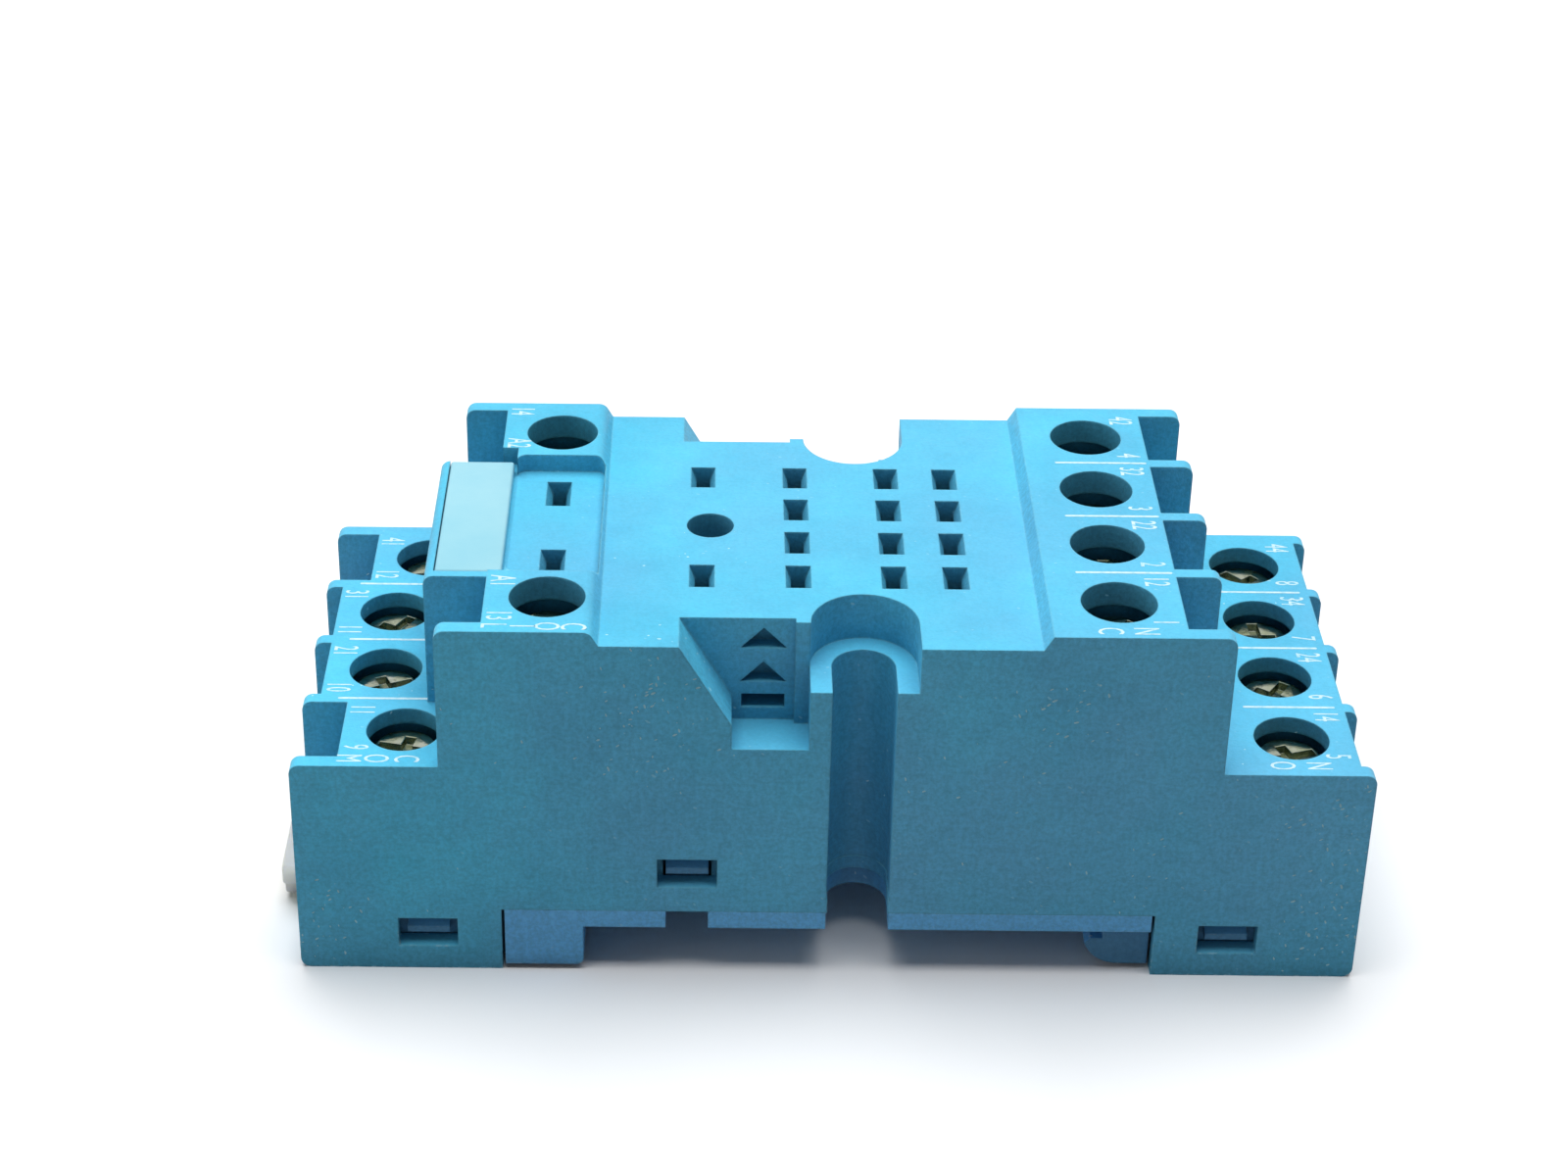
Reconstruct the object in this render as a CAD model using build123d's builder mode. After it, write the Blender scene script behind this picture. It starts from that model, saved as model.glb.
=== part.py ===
from build123d import *
from collections import namedtuple
import os

# Screw-terminal socket for a four-pole plug-in relay, fixed to a 35 mm rail or by two panel screws.
# Millimetres. The origin is the centre of the rail seat: +X along the body, +Y across the poles, +Z up.
os.makedirs("parts", exist_ok=True)

# Rail and feet
rail_width = 35.0
rail_thickness = 1.0
rail_fit = 0.1
rail_stop_inset = 19.15
rail_stop_length = 5.48
hook_length = 3.41
foot_drop = 3.6
end_wall = 1.1
base_thickness = 1.35
base_fit = 0.1
plate_end_fit = 0.2

# Steps of the body, from the coil end to the contact end
left_tier_length = 9.8
left_block_length = 10.55
right_block_length = 12.33
right_tier_length = 10.05
plateau_drop = 1.03
step_run = 0.6
corner_radius = 0.7

# Terminals
pole_count = 4
terminal_pitch = 7.37
partition = 1.0
side_wall = 1.15
screw_hole_diameter = 5.0
upper_pocket_roof = 1.75
lower_pocket_roof = 1.2
face_to_screw = 4.1
right_upper_recess = 3.05
right_lower_recess = 0.9
left_upper_recess = 3.0
left_outer_recess = 3.1
left_inner_recess = 1.2
entry_width = 4.2
entry_funnel = 0.5
entry_sill = 0.1
entry_rise = 0.05

# Terminal screw and rising clamp
upper_head_depth = 2.4
lower_head_depth = 1.5
head_height = 1.3
head_diameter = 4.5
drive_slot_width = 0.75
drive_slot_length = 3.7
drive_cross_length = 2.7
drive_depth = 0.65
shank_diameter = 3.0
thread_fit = 0.06
clamp_travel = 2.2
clamp_length = 5.0
clamp_inner_width = 4.3
clamp_side = 0.65
clamp_top = 1.1
clamp_floor = 0.7
clamp_fit = 0.12
clamp_rest_gap = 1.2
lift_fit = 0.1
wire_gap = 2.7

# Contacts
tongue_thickness = 0.7
tongue_width = 3.5
tongue_reach = 2.2
tongue_fit = 0.05
strip_width = 2.6
strip_side_fit = 0.25
strip_roof_fit = 0.05
jog_from_row = 1.8
jog_to_pocket = 0.6
leaf_width = 2.4
leaf_thickness = 0.4
leaf_foot_gap = 1.3
leaf_pinch_gap = 0.4
leaf_mouth_gap = 1.1
leaf_pinch_share = 0.72

# Relay slots in the plateau
pole_pitch = 4.4
coil_row_inset = 6.57
coil_to_common = 6.4
common_to_open = 6.35
open_to_closed = 4.1
closed_row_inset = 5.08
slot_width = 0.95
slot_length = 2.8
slot_mouth_width = 1.7
slot_funnel_depth = 0.95
slot_skin = 1.6
chamber_fit = 0.2
key_hole_diameter = 3.2
key_hole_depth = 8.0
key_hole_inset = 7.1

# Module recess and identification label
module_wall = 0.8
module_depth = 1.32
module_corner = 0.7
module_rim = 0.3
module_slot_spacing = 9.2
module_slot_length = 3.3
label_block_reach = 1.3
label_drop = 0.55
label_width = 4.45
label_thickness = 0.8
label_border = 0.7
label_fit = 0.05
label_gap_width = 0.25

# Panel-screw groove on each long side
groove_inset = 17.2
groove_width = 4.22
groove_depth = 5.2
groove_lip_height = 1.0
groove_lip_step = 0.08
seat_width = 7.05
seat_depth = 6.65
seat_drop = 3.38

# Retaining-clip recess on each long side
clip_recess_inset = 5.15
clip_recess_depth = 3.6
clip_slope_run = 3.45
clip_slope_drop = 5.95
clip_recess_drop = 7.85
clip_strip_width = 0.95
clip_strip_step = 0.5
clip_tooth_count = 2
clip_tooth_width = 3.05
clip_tooth_height = 1.55
clip_tooth_depth = 1.1
clip_tooth_first_drop = 0.72
clip_tooth_pitch = 2.6
clip_slot_width = 2.85
clip_slot_height = 1.05
clip_slot_depth = 2.2
clip_slot_drop = 5.85

# Snap windows in the side walls and the lugs of the base in them
window_width = 4.0
window_height = 2.1
window_sill_fall = 0.35
lug_width = 2.85
lug_height = 0.9
lug_reach = 0.75
lug_tongue_thickness = 1.1
lug_pocket_fit = 0.2
lug_web = 0.45
lug_notch_depth = 2.1
end_window_inset = 4.97
end_window_rise = 2.06
middle_window_inset = 5.77
middle_window_rise = 3.53

# Rail clip, its guides and the fixed hook
clip_tab_reach = 2.0
clip_flange_half_width = 8.9
clip_flange_overhang = 1.0
clip_top_fit = 0.1
clip_flange_thickness = 1.6
clip_body_thickness = 1.5
clip_side_fit = 0.1
clip_nose_reach = 1.25
clip_nose_thickness = 0.5
guide_rise = 0.42
guide_corner = 0.5
skirt_thickness = 1.25
skirt_length = 8.0
hook_reach = 1.1
hook_width = 5.0
hook_setback = 0.7
hook_tip_height = 0.4

# Heights, stacked up from the base through the lower and the upper terminals
stack_depth = (head_height + lift_fit + clamp_travel + clamp_top
               + tongue_fit + tongue_thickness + wire_gap)
housing_floor = base_thickness
foot_bottom = -foot_drop
lower_tier_top = housing_floor + clamp_rest_gap + clamp_floor + stack_depth + lower_head_depth
upper_block_top = lower_tier_top + entry_rise - entry_sill + stack_depth + upper_head_depth
plateau_top = upper_block_top - plateau_drop
over = 1.0

# Stations along the body and across it
body_left = -rail_width / 2 - rail_stop_inset
block_left = body_left + left_tier_length
plateau_left = block_left + left_block_length
coil_row = plateau_left + coil_row_inset
common_row = coil_row + coil_to_common
open_row = common_row + common_to_open
closed_row = open_row + open_to_closed
plateau_right = closed_row + closed_row_inset
block_right = plateau_right + right_block_length
body_right = block_right + right_tier_length
foot_left = -rail_width / 2 - rail_stop_length
foot_right = rail_width / 2 + hook_length
half_width = (pole_count * terminal_pitch - partition) / 2 + side_wall
inner_half_width = half_width - side_wall

# Terminals, numbered from the closed contacts through open and common to the coil, each from -Y to +Y
Terminal = namedtuple("Terminal", "number side x y top slot_x slot_y recess")
Levels = namedtuple("Levels", "head_top head_seat clamp_top tongue_top tongue_bottom wire_floor clamp_bottom")
outer_poles = (0, pole_count - 1)
head_depths = {upper_block_top: upper_head_depth, lower_tier_top: lower_head_depth}
pocket_roofs = {upper_block_top: upper_pocket_roof, lower_tier_top: lower_pocket_roof}


def across(pole, pitch):
    """Y of a pole, counted from -Y."""
    return (pole - (pole_count - 1) / 2) * pitch


def add_terminal(side, wall_end, recess, top, row, pole):
    """Adds a terminal whose block face stands back from the end of its walls by the recess."""
    number = len(terminals) + 1
    x = wall_end - side * (recess + face_to_screw)
    y = across(pole, terminal_pitch)
    terminals.append(Terminal(number, side, x, y, top, row, across(pole, pole_pitch), recess))


terminals = []
for pole in range(pole_count):
    add_terminal(1, block_right, right_upper_recess, upper_block_top, closed_row, pole)
for pole in range(pole_count):
    add_terminal(1, body_right, right_lower_recess, lower_tier_top, open_row, pole)
for pole in range(pole_count):
    recess = left_outer_recess if pole in outer_poles else left_inner_recess
    add_terminal(-1, body_left, recess, lower_tier_top, common_row, pole)
for pole in outer_poles:
    add_terminal(-1, block_left, left_upper_recess, upper_block_top, coil_row, pole)

closed_set = terminals[:pole_count]
coil_set = terminals[-len(outer_poles):]


def levels(top):
    """Heights of the screw, clamp and tongue below the top face of a terminal, with the clamp open."""
    head_top = top - head_depths[top]
    head_seat = head_top - head_height
    cage_top = head_seat - lift_fit - clamp_travel
    tongue_top = cage_top - clamp_top - tongue_fit
    tongue_bottom = tongue_top - tongue_thickness
    wire_floor = tongue_bottom - wire_gap
    cage_bottom = wire_floor - clamp_floor
    return Levels(head_top, head_seat, cage_top, tongue_top, tongue_bottom, wire_floor, cage_bottom)


upper = levels(upper_block_top)
pocket_length = clamp_length + 2 * clamp_fit
pocket_width = clamp_inner_width + 2 * (clamp_side + clamp_fit)
recess_width = terminal_pitch - partition
spring_half = leaf_foot_gap / 2 + leaf_thickness
chamber_length = 2 * (spring_half + chamber_fit)
chamber_width = leaf_width + 2 * chamber_fit
chamber_top = plateau_top - slot_skin
leaf_top = chamber_top - chamber_fit

# The strips step sideways between the outermost slot row and the clamps of the upper terminals
jog_start = {1: closed_row + jog_from_row, -1: coil_row - jog_from_row}
jog_end = {
    1: closed_set[0].x - pocket_length / 2 - jog_to_pocket,
    -1: coil_set[0].x + pocket_length / 2 + jog_to_pocket,
}

module_half_width = across(pole_count - 1, terminal_pitch) - screw_hole_diameter / 2 - module_wall
module_floor = upper_block_top - module_depth
module_right = plateau_left - module_rim
label_top = upper_block_top - label_drop
label_left = block_left - label_block_reach + label_border
label_right = label_left + label_width
module_left = label_right + label_gap_width
module_slot_x = coil_set[0].x
module_chamber_top = module_floor - slot_skin

groove_x = plateau_left + groove_inset
seat_radius = seat_width / 2
seat_level = plateau_top - seat_drop
lug_face = inner_half_width - base_fit
lug_rise = (window_height - lug_height) / 2
end_window_low = foot_bottom + end_window_rise
windows = [
    (foot_left - end_window_inset, end_window_low),
    (foot_right + end_window_inset, end_window_low),
    (plateau_left + middle_window_inset, middle_window_rise),
]
middle_window = windows[-1][0]

clip_body_half_width = clip_flange_half_width - clip_flange_overhang
clip_flange_top = -clip_top_fit
clip_flange_bottom = clip_flange_top - clip_flange_thickness


def mid(low, high):
    """Centre of a box given by its lowest and highest corners."""
    return tuple((a + b) / 2 for a, b in zip(low, high))


def size(low, high):
    """Sides of a box given by its lowest and highest corners."""
    return tuple(b - a for a, b in zip(low, high))


def strip_outline(terminal, grow=0.0):
    """Plan of a contact strip that steps from its pole's line to its terminal's line."""
    side = terminal.side
    half_strip = strip_width / 2 + grow
    half_tongue = tongue_width / 2 + grow
    stations = [
        (terminal.slot_x - side * (spring_half + grow), terminal.slot_y, half_strip),
        (jog_start[side], terminal.slot_y, half_strip),
        (jog_end[side], terminal.y, half_tongue),
        (terminal.x + side * (tongue_reach + grow), terminal.y, half_tongue),
    ]
    near = [(x, y - half) for x, y, half in stations]
    far = [(x, y + half) for x, y, half in reversed(stations)]
    return near + far


def module_slot_y(terminal):
    """Y of the module slot that a coil terminal feeds."""
    return module_slot_spacing / 2 * (1 if terminal.y > 0 else -1)


def module_arm(terminal, grow=0.0):
    """Plan rectangles, as lowest and highest corners, of the arm from a coil strip to its module slot."""
    half = strip_width / 2 + grow
    slot_y = module_slot_y(terminal)
    right = jog_start[-1]
    run = (module_slot_x - spring_half - grow, slot_y - half), (right, slot_y + half)
    near_y, far_y = sorted((slot_y, terminal.slot_y))
    cross = (right - strip_width - grow, near_y - half), (right + grow, far_y + half)
    return run, cross


def round_end_y(width, depth):
    """Y of the centre of the round end of a groove that opens on the near side face."""
    return -half_width + depth - width / 2


# Features that both long sides share, made on the -Y side and mirrored
with BuildPart() as side_cuts:
    # Panel-screw groove with a lip at its foot, and the wider seat for the screw head
    lip_width = groove_width - 2 * groove_lip_step
    lip_depth = groove_depth - groove_lip_step
    for width, depth, low in (
        (lip_width, lip_depth, housing_floor - over),
        (groove_width, groove_depth, housing_floor + groove_lip_height),
        (seat_width, seat_depth, seat_level),
    ):
        centre_y = round_end_y(width, depth)
        with BuildSketch(Plane.XY.offset(low)):
            with Locations((groove_x, centre_y)):
                Circle(width / 2)
            with Locations((groove_x, (centre_y - half_width - over) / 2)):
                Rectangle(width, centre_y + half_width + over)
        extrude(amount=upper_block_top - low)
    # Clip recess with a sloping side, a shallower strip, two teeth and a latch slot
    recess_left = plateau_left + clip_recess_inset
    slope_foot = recess_left + clip_slope_run
    recess_floor = plateau_top - clip_recess_drop
    strip_left = groove_x - seat_radius - clip_strip_width
    back = -half_width + clip_recess_depth
    rise = upper_block_top - plateau_top
    with BuildSketch(Plane.XZ.offset(half_width + over)):
        with BuildLine():
            Polyline(
                (recess_left - rise * clip_slope_run / clip_slope_drop, upper_block_top),
                (slope_foot, plateau_top - clip_slope_drop),
                (slope_foot, recess_floor),
                (strip_left, recess_floor),
                (strip_left, upper_block_top),
                close=True,
            )
        make_face()
    extrude(amount=-(clip_recess_depth + over))
    strip_low = (strip_left, -half_width - over, recess_floor)
    strip_high = (groove_x - seat_radius, back - clip_strip_step, upper_block_top)
    with Locations(mid(strip_low, strip_high)):
        Box(*size(strip_low, strip_high))
    tooth_x = (slope_foot + strip_left) / 2
    with BuildSketch(Plane.XZ.offset(-back + over)):
        for tooth in range(clip_tooth_count):
            apex = plateau_top - clip_tooth_first_drop - tooth * clip_tooth_pitch
            with BuildLine():
                Polyline(
                    (tooth_x, apex),
                    (tooth_x - clip_tooth_width / 2, apex - clip_tooth_height),
                    (tooth_x + clip_tooth_width / 2, apex - clip_tooth_height),
                    close=True,
                )
            make_face()
    extrude(amount=-(clip_tooth_depth + over))
    with BuildSketch(Plane.XZ.offset(-back + over)):
        with Locations((tooth_x, plateau_top - clip_slot_drop - clip_slot_height / 2)):
            Rectangle(clip_slot_width, clip_slot_height)
    extrude(amount=-(clip_slot_depth + over))
    # Snap windows, with sills that fall outwards, and the pocket behind the middle one
    window_in = -inner_half_width + base_fit
    window_out = -half_width - over
    for window_x, low in windows:
        with BuildSketch(Plane.YZ.offset(window_x - window_width / 2)):
            with BuildLine():
                Polyline(
                    (window_in, low),
                    (window_out, low - window_sill_fall),
                    (window_out, low + window_height),
                    (window_in, low + window_height),
                    close=True,
                )
            make_face()
        extrude(amount=window_width)
    pocket_half = lug_width / 2 + lug_pocket_fit
    pocket_low = (middle_window - pocket_half, -inner_half_width, housing_floor - over)
    pocket_high = (
        middle_window + pocket_half,
        -lug_face + lug_tongue_thickness + lug_pocket_fit,
        middle_window_rise + window_height,
    )
    with Locations(mid(pocket_low, pocket_high)):
        Box(*size(pocket_low, pocket_high))

far_side_cuts = mirror(side_cuts.part, about=Plane.XZ)

# Housing: the stepped moulding
with BuildPart() as housing:
    outline = [
        (body_left, foot_bottom),
        (body_left, lower_tier_top),
        (block_left, lower_tier_top),
        (block_left, upper_block_top),
        (plateau_left - step_run, upper_block_top),
        (plateau_left, plateau_top),
        (plateau_right, plateau_top),
        (plateau_right + step_run, upper_block_top),
        (block_right, upper_block_top),
        (block_right, lower_tier_top),
        (body_right, lower_tier_top),
        (body_right, foot_bottom),
        (foot_right, foot_bottom),
        (foot_right, housing_floor),
        (foot_left, housing_floor),
        (foot_left, foot_bottom),
    ]
    rounded = [outline[i] for i in (0, 1, 3, 4, 8, 10, 11)]
    with BuildSketch(Plane.XZ) as side_profile:
        with BuildLine():
            Polyline(*outline, close=True)
        make_face()
        corners = [side_profile.vertices().sort_by_distance((x, z, 0))[0] for x, z in rounded]
        fillet(corners, corner_radius)
    extrude(amount=half_width, both=True)

    # Label block between the coil terminals, standing past the end of their walls
    with BuildSketch(Plane.XZ) as label_profile:
        low = (block_left - label_block_reach, lower_tier_top)
        high = (block_left + left_upper_recess, label_top)
        with Locations(mid(low, high)):
            Rectangle(*size(low, high))
        fillet(label_profile.vertices().sort_by_distance((low[0], high[1], 0))[0], corner_radius)
    extrude(amount=module_half_width, both=True)
    over_low = (block_left - over, -module_half_width, label_top)
    over_high = (module_left, module_half_width, upper_block_top + over)
    with Locations(mid(over_low, over_high)):
        Box(*size(over_low, over_high), mode=Mode.SUBTRACT)

    # Module recess with rounded far corners, the label's seat and the gap beside it
    with BuildSketch(Plane.XY.offset(module_floor)) as module_plan:
        with Locations(((module_left + module_right) / 2, 0)):
            Rectangle(module_right - module_left, 2 * module_half_width)
        fillet(module_plan.vertices(), module_corner)
        with Locations((module_left + module_corner, 0)):
            Rectangle(2 * module_corner, 2 * (module_half_width - module_corner))
    extrude(amount=module_depth + over, mode=Mode.SUBTRACT)
    seat_low = (label_left - label_fit, -module_half_width + label_border, label_top - label_thickness)
    seat_high = (module_left, module_half_width + over, label_top + over)
    with Locations(mid(seat_low, seat_high)):
        Box(*size(seat_low, seat_high), mode=Mode.SUBTRACT)

    cavities = []

    # Wire recess in front of each terminal block, between its walls
    for t in terminals:
        wall_end = t.x + t.side * (face_to_screw + t.recess)
        face = t.x + t.side * face_to_screw
        floor = lower_tier_top if t.top == upper_block_top else housing_floor
        low_y, high_y = t.y - recess_width / 2, t.y + recess_width / 2
        if t in coil_set:
            inner_y = module_half_width if t.y > 0 else -module_half_width
            low_y, high_y = sorted((inner_y, t.y + (recess_width / 2 if t.y > 0 else -recess_width / 2)))
        low = (min(face, wall_end + t.side * over), low_y, floor)
        high = (max(face, wall_end + t.side * over), high_y, t.top + over)
        with Locations(mid(low, high)):
            cavities.append(Box(*size(low, high), mode=Mode.PRIVATE))

    # Screw hole, clamp pocket and wire entry of each terminal
    for t in terminals:
        z = levels(t.top)
        pocket_top = t.top - pocket_roofs[t.top]
        with Locations((t.x, t.y, (t.top + over + pocket_top) / 2)):
            cavities.append(Cylinder(screw_hole_diameter / 2, t.top + over - pocket_top, mode=Mode.PRIVATE))
        low = (t.x - pocket_length / 2, t.y - pocket_width / 2, housing_floor - over)
        high = (t.x + pocket_length / 2, t.y + pocket_width / 2, pocket_top)
        with Locations(mid(low, high)):
            cavities.append(Box(*size(low, high), mode=Mode.PRIVATE))
        sill = z.wire_floor + entry_sill
        face = t.x + t.side * face_to_screw
        entry_height = z.tongue_bottom - sill
        with BuildSketch(Plane.YZ.offset(t.x)):
            with Locations((t.y, sill + entry_height / 2)):
                Rectangle(entry_width, entry_height)
        cavities.append(extrude(amount=t.side * (face_to_screw + over), mode=Mode.PRIVATE))
        with BuildSketch(Plane.YZ.offset(face - t.side * entry_funnel)):
            with Locations((t.y, sill + entry_height / 2)):
                Rectangle(entry_width, entry_height)
        with BuildSketch(Plane.YZ.offset(face)):
            with Locations((t.y, sill + (entry_height + entry_funnel) / 2)):
                Rectangle(entry_width + 2 * entry_funnel, entry_height + entry_funnel)
        cavities.append(loft(mode=Mode.PRIVATE))

    # Channel of each contact strip, open to the base, and the chamber of its spring
    for t in terminals:
        z = levels(t.top)
        with BuildSketch(Plane.XY.offset(housing_floor - over)):
            Polygon(*strip_outline(t, strip_side_fit), align=None)
            if t in coil_set:
                for low, high in module_arm(t, strip_side_fit):
                    with Locations(mid(low, high)):
                        Rectangle(*size(low, high))
        low_z = housing_floor - over
        channel_height = z.tongue_top + strip_roof_fit - low_z
        cavities.append(extrude(amount=channel_height, mode=Mode.PRIVATE))
        with Locations((t.slot_x, t.slot_y, (low_z + chamber_top) / 2)):
            cavities.append(Box(chamber_length, chamber_width, chamber_top - low_z, mode=Mode.PRIVATE))

    # Relay slots: a straight slit below a mouth that widens along the body
    for t in terminals:
        with Locations((t.slot_x, t.slot_y, plateau_top - slot_skin / 2)):
            cavities.append(Box(slot_width, slot_length, slot_skin + over, mode=Mode.PRIVATE))
        with BuildSketch(Plane.XZ.offset(-t.slot_y)):
            with BuildLine():
                Polyline(
                    (t.slot_x - slot_width / 2, plateau_top - slot_funnel_depth),
                    (t.slot_x - slot_mouth_width / 2, plateau_top),
                    (t.slot_x + slot_mouth_width / 2, plateau_top),
                    (t.slot_x + slot_width / 2, plateau_top - slot_funnel_depth),
                    close=True,
                )
            make_face()
        cavities.append(extrude(amount=slot_length / 2, both=True, mode=Mode.PRIVATE))

    # Module slots, fed by the arms of the coil strips
    for t in coil_set:
        slot_y = module_slot_y(t)
        low_z = housing_floor - over
        with Locations((module_slot_x, slot_y, (low_z + module_chamber_top) / 2)):
            cavities.append(Box(chamber_length, chamber_width, module_chamber_top - low_z, mode=Mode.PRIVATE))
        with Locations((module_slot_x, slot_y, module_floor - slot_skin / 2)):
            cavities.append(Box(slot_width, module_slot_length, slot_skin + over, mode=Mode.PRIVATE))
        with BuildSketch(Plane.XZ.offset(-slot_y)):
            with BuildLine():
                Polyline(
                    (module_slot_x - slot_width / 2, module_floor - slot_funnel_depth),
                    (module_slot_x - slot_mouth_width / 2, module_floor),
                    (module_slot_x + slot_mouth_width / 2, module_floor),
                    (module_slot_x + slot_width / 2, module_floor - slot_funnel_depth),
                    close=True,
                )
            make_face()
        cavities.append(extrude(amount=module_slot_length / 2, both=True, mode=Mode.PRIVATE))

    # Key hole for the relay's locating pin
    with Locations((plateau_left + key_hole_inset, 0, plateau_top - key_hole_depth / 2 + over / 2)):
        cavities.append(Cylinder(key_hole_diameter / 2, key_hole_depth + over, mode=Mode.PRIVATE))

    # Hollow feet that take the ends of the base, and the way out of the rail clip
    for inner, outer in ((foot_left, body_left + end_wall), (foot_right, body_right - end_wall)):
        low = (min(inner, outer), -inner_half_width, foot_bottom - over)
        high = (max(inner, outer), inner_half_width, housing_floor)
        with Locations(mid(low, high)):
            cavities.append(Box(*size(low, high), mode=Mode.PRIVATE))
    notch_half = clip_flange_half_width + 2 * clip_side_fit
    low = (body_left - over, -notch_half, foot_bottom - over)
    high = (body_left + end_wall + over, notch_half, 0)
    with Locations(mid(low, high)):
        cavities.append(Box(*size(low, high), mode=Mode.PRIVATE))

    add([*cavities, side_cuts.part, far_side_cuts], mode=Mode.SUBTRACT)

housing.part.label = "housing"
export_step(housing.part, "parts/housing.step")

# Base: closes the housing from below, guides the rail clip and carries the fixed hook
with BuildPart() as base_plate:
    inside_left = body_left + end_wall + base_fit
    inside_right = body_right - end_wall - base_fit
    flange_left = foot_left + plate_end_fit
    flange_right = foot_right - plate_end_fit
    with BuildSketch(Plane.XY):
        with Locations(((inside_left + inside_right) / 2, 0)):
            Rectangle(inside_right - inside_left, 2 * lug_face)
        with Locations(((flange_left + flange_right) / 2, 0)):
            Rectangle(flange_right - flange_left, 2 * half_width)
        centre_y = round_end_y(groove_width, groove_depth)
        with Locations((groove_x, centre_y), (groove_x, -centre_y)):
            Circle(groove_width / 2, mode=Mode.SUBTRACT)
        edge_y = (half_width - centre_y) / 2
        with Locations((groove_x, -edge_y), (groove_x, edge_y)):
            Rectangle(groove_width, half_width + centre_y, mode=Mode.SUBTRACT)
    extrude(amount=base_thickness)
    # Notch below each middle lug, deeper under the thin web that carries the tongue
    for notch_y in (-half_width, half_width):
        for depth, notch_top in (
            (half_width - lug_face, base_thickness),
            (lug_notch_depth, base_thickness - lug_web),
        ):
            with Locations((middle_window, notch_y, notch_top / 2)):
                Box(lug_width, 2 * depth, notch_top, mode=Mode.SUBTRACT)

    guide_bottom = foot_bottom + guide_rise
    for side in (-1, 1):
        # Guides of the rail clip, with a lip under its flange; their inner ends stop the rail
        guide_in = clip_flange_half_width + clip_side_fit
        lip_in = clip_body_half_width + clip_side_fit
        for left, inner, outer, guide_top in (
            (inside_left, guide_in, lug_face, 0),
            (flange_left, guide_in, half_width, 0),
            (inside_left, lip_in, guide_in, clip_flange_bottom - clip_top_fit),
        ):
            low_y, high_y = sorted((side * inner, side * outer))
            low, high = (left, guide_bottom), (-rail_width / 2, guide_top)
            with BuildSketch(Plane.XZ.offset(-high_y)) as guide_profile:
                with Locations(mid(low, high)):
                    Rectangle(*size(low, high))
                stop_corner = guide_profile.vertices().sort_by_distance((high[0], low[1], 0))[0]
                fillet(stop_corner, guide_corner)
            extrude(amount=high_y - low_y)
        # Skirt in the foot beyond the hook
        skirt_x = windows[1][0]
        low_y, high_y = sorted((side * lug_face, side * (lug_face - skirt_thickness)))
        low = (skirt_x - skirt_length / 2, low_y, guide_bottom)
        high = (skirt_x + skirt_length / 2, high_y, 0)
        with Locations(mid(low, high)):
            Box(*size(low, high))
        # Tongue that reaches up to the middle window
        tongue_high = middle_window_rise + lug_rise + lug_height
        low_y, high_y = sorted((side * lug_face, side * (lug_face - lug_tongue_thickness)))
        low = (middle_window - lug_width / 2, low_y, base_thickness)
        high = (middle_window + lug_width / 2, high_y, tongue_high)
        with Locations(mid(low, high)):
            Box(*size(low, high))
        # Snap lugs in the windows
        for lug_x, low_z in windows:
            lug_low = low_z + lug_rise
            with BuildSketch(Plane.YZ.offset(lug_x - lug_width / 2)):
                with BuildLine():
                    Polyline(
                        (side * lug_face, lug_low),
                        (side * (lug_face + lug_reach), lug_low),
                        (side * (lug_face + lug_reach), lug_low + lug_height / 2),
                        (side * lug_face, lug_low + lug_height),
                        close=True,
                    )
                make_face()
            extrude(amount=lug_width)
        # Fixed hook under the other edge of the rail
        hook_root = rail_width / 2 + rail_fit
        hook_top = -rail_thickness - rail_fit
        hook_tip = rail_width / 2 - hook_reach
        hook_out = half_width - hook_setback
        hook_mid = hook_out - hook_width / 2
        with BuildSketch(Plane.XZ.offset(-side * hook_mid)):
            with BuildLine():
                flat = Polyline(
                    (hook_root + hook_reach, guide_bottom),
                    (flange_right, guide_bottom),
                    (flange_right, 0),
                    (hook_root, 0),
                    (hook_root, hook_top),
                    (hook_tip + hook_tip_height, hook_top),
                    (hook_tip, hook_top - hook_tip_height),
                )
                TangentArc(flat @ 0, flat @ 1, tangent=(-1, 0))
            make_face()
        extrude(amount=hook_width / 2, both=True)

base_plate.part.label = "base_plate"
export_step(base_plate.part, "parts/base_plate.step")

# Rail clip: a flanged slider with a release tab past the end wall and a nose under the rail
with BuildPart() as rail_clip:
    tab_end = body_left - clip_tab_reach
    clip_end = -rail_width / 2 - rail_fit
    body_low = clip_flange_bottom - clip_body_thickness
    nose_top = -rail_thickness - rail_fit
    with BuildSketch(Plane.XZ):
        with BuildLine():
            Polyline(
                (tab_end, clip_flange_bottom),
                (tab_end, body_low),
                (clip_end, body_low),
                (-rail_width / 2 + clip_nose_reach, nose_top - clip_nose_thickness),
                (-rail_width / 2 + clip_nose_reach, nose_top),
                (clip_end, nose_top),
                (clip_end, clip_flange_bottom),
                close=True,
            )
        make_face()
    extrude(amount=clip_body_half_width, both=True)
    low = (tab_end, -clip_flange_half_width, clip_flange_bottom)
    high = (clip_end, clip_flange_half_width, clip_flange_top)
    with Locations(mid(low, high)):
        Box(*size(low, high))

rail_clip.part.label = "rail_clip"
export_step(rail_clip.part, "parts/rail_clip.step")

# Identification label, slid into its seat from the +Y side
with BuildPart() as id_label:
    low = (label_left, -module_half_width + label_border + label_fit, label_top - label_thickness)
    high = (label_right, module_half_width, label_top)
    with Locations(mid(low, high)):
        Box(*size(low, high))

id_label.part.label = "id_label"
export_step(id_label.part, "parts/id_label.step")

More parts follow.
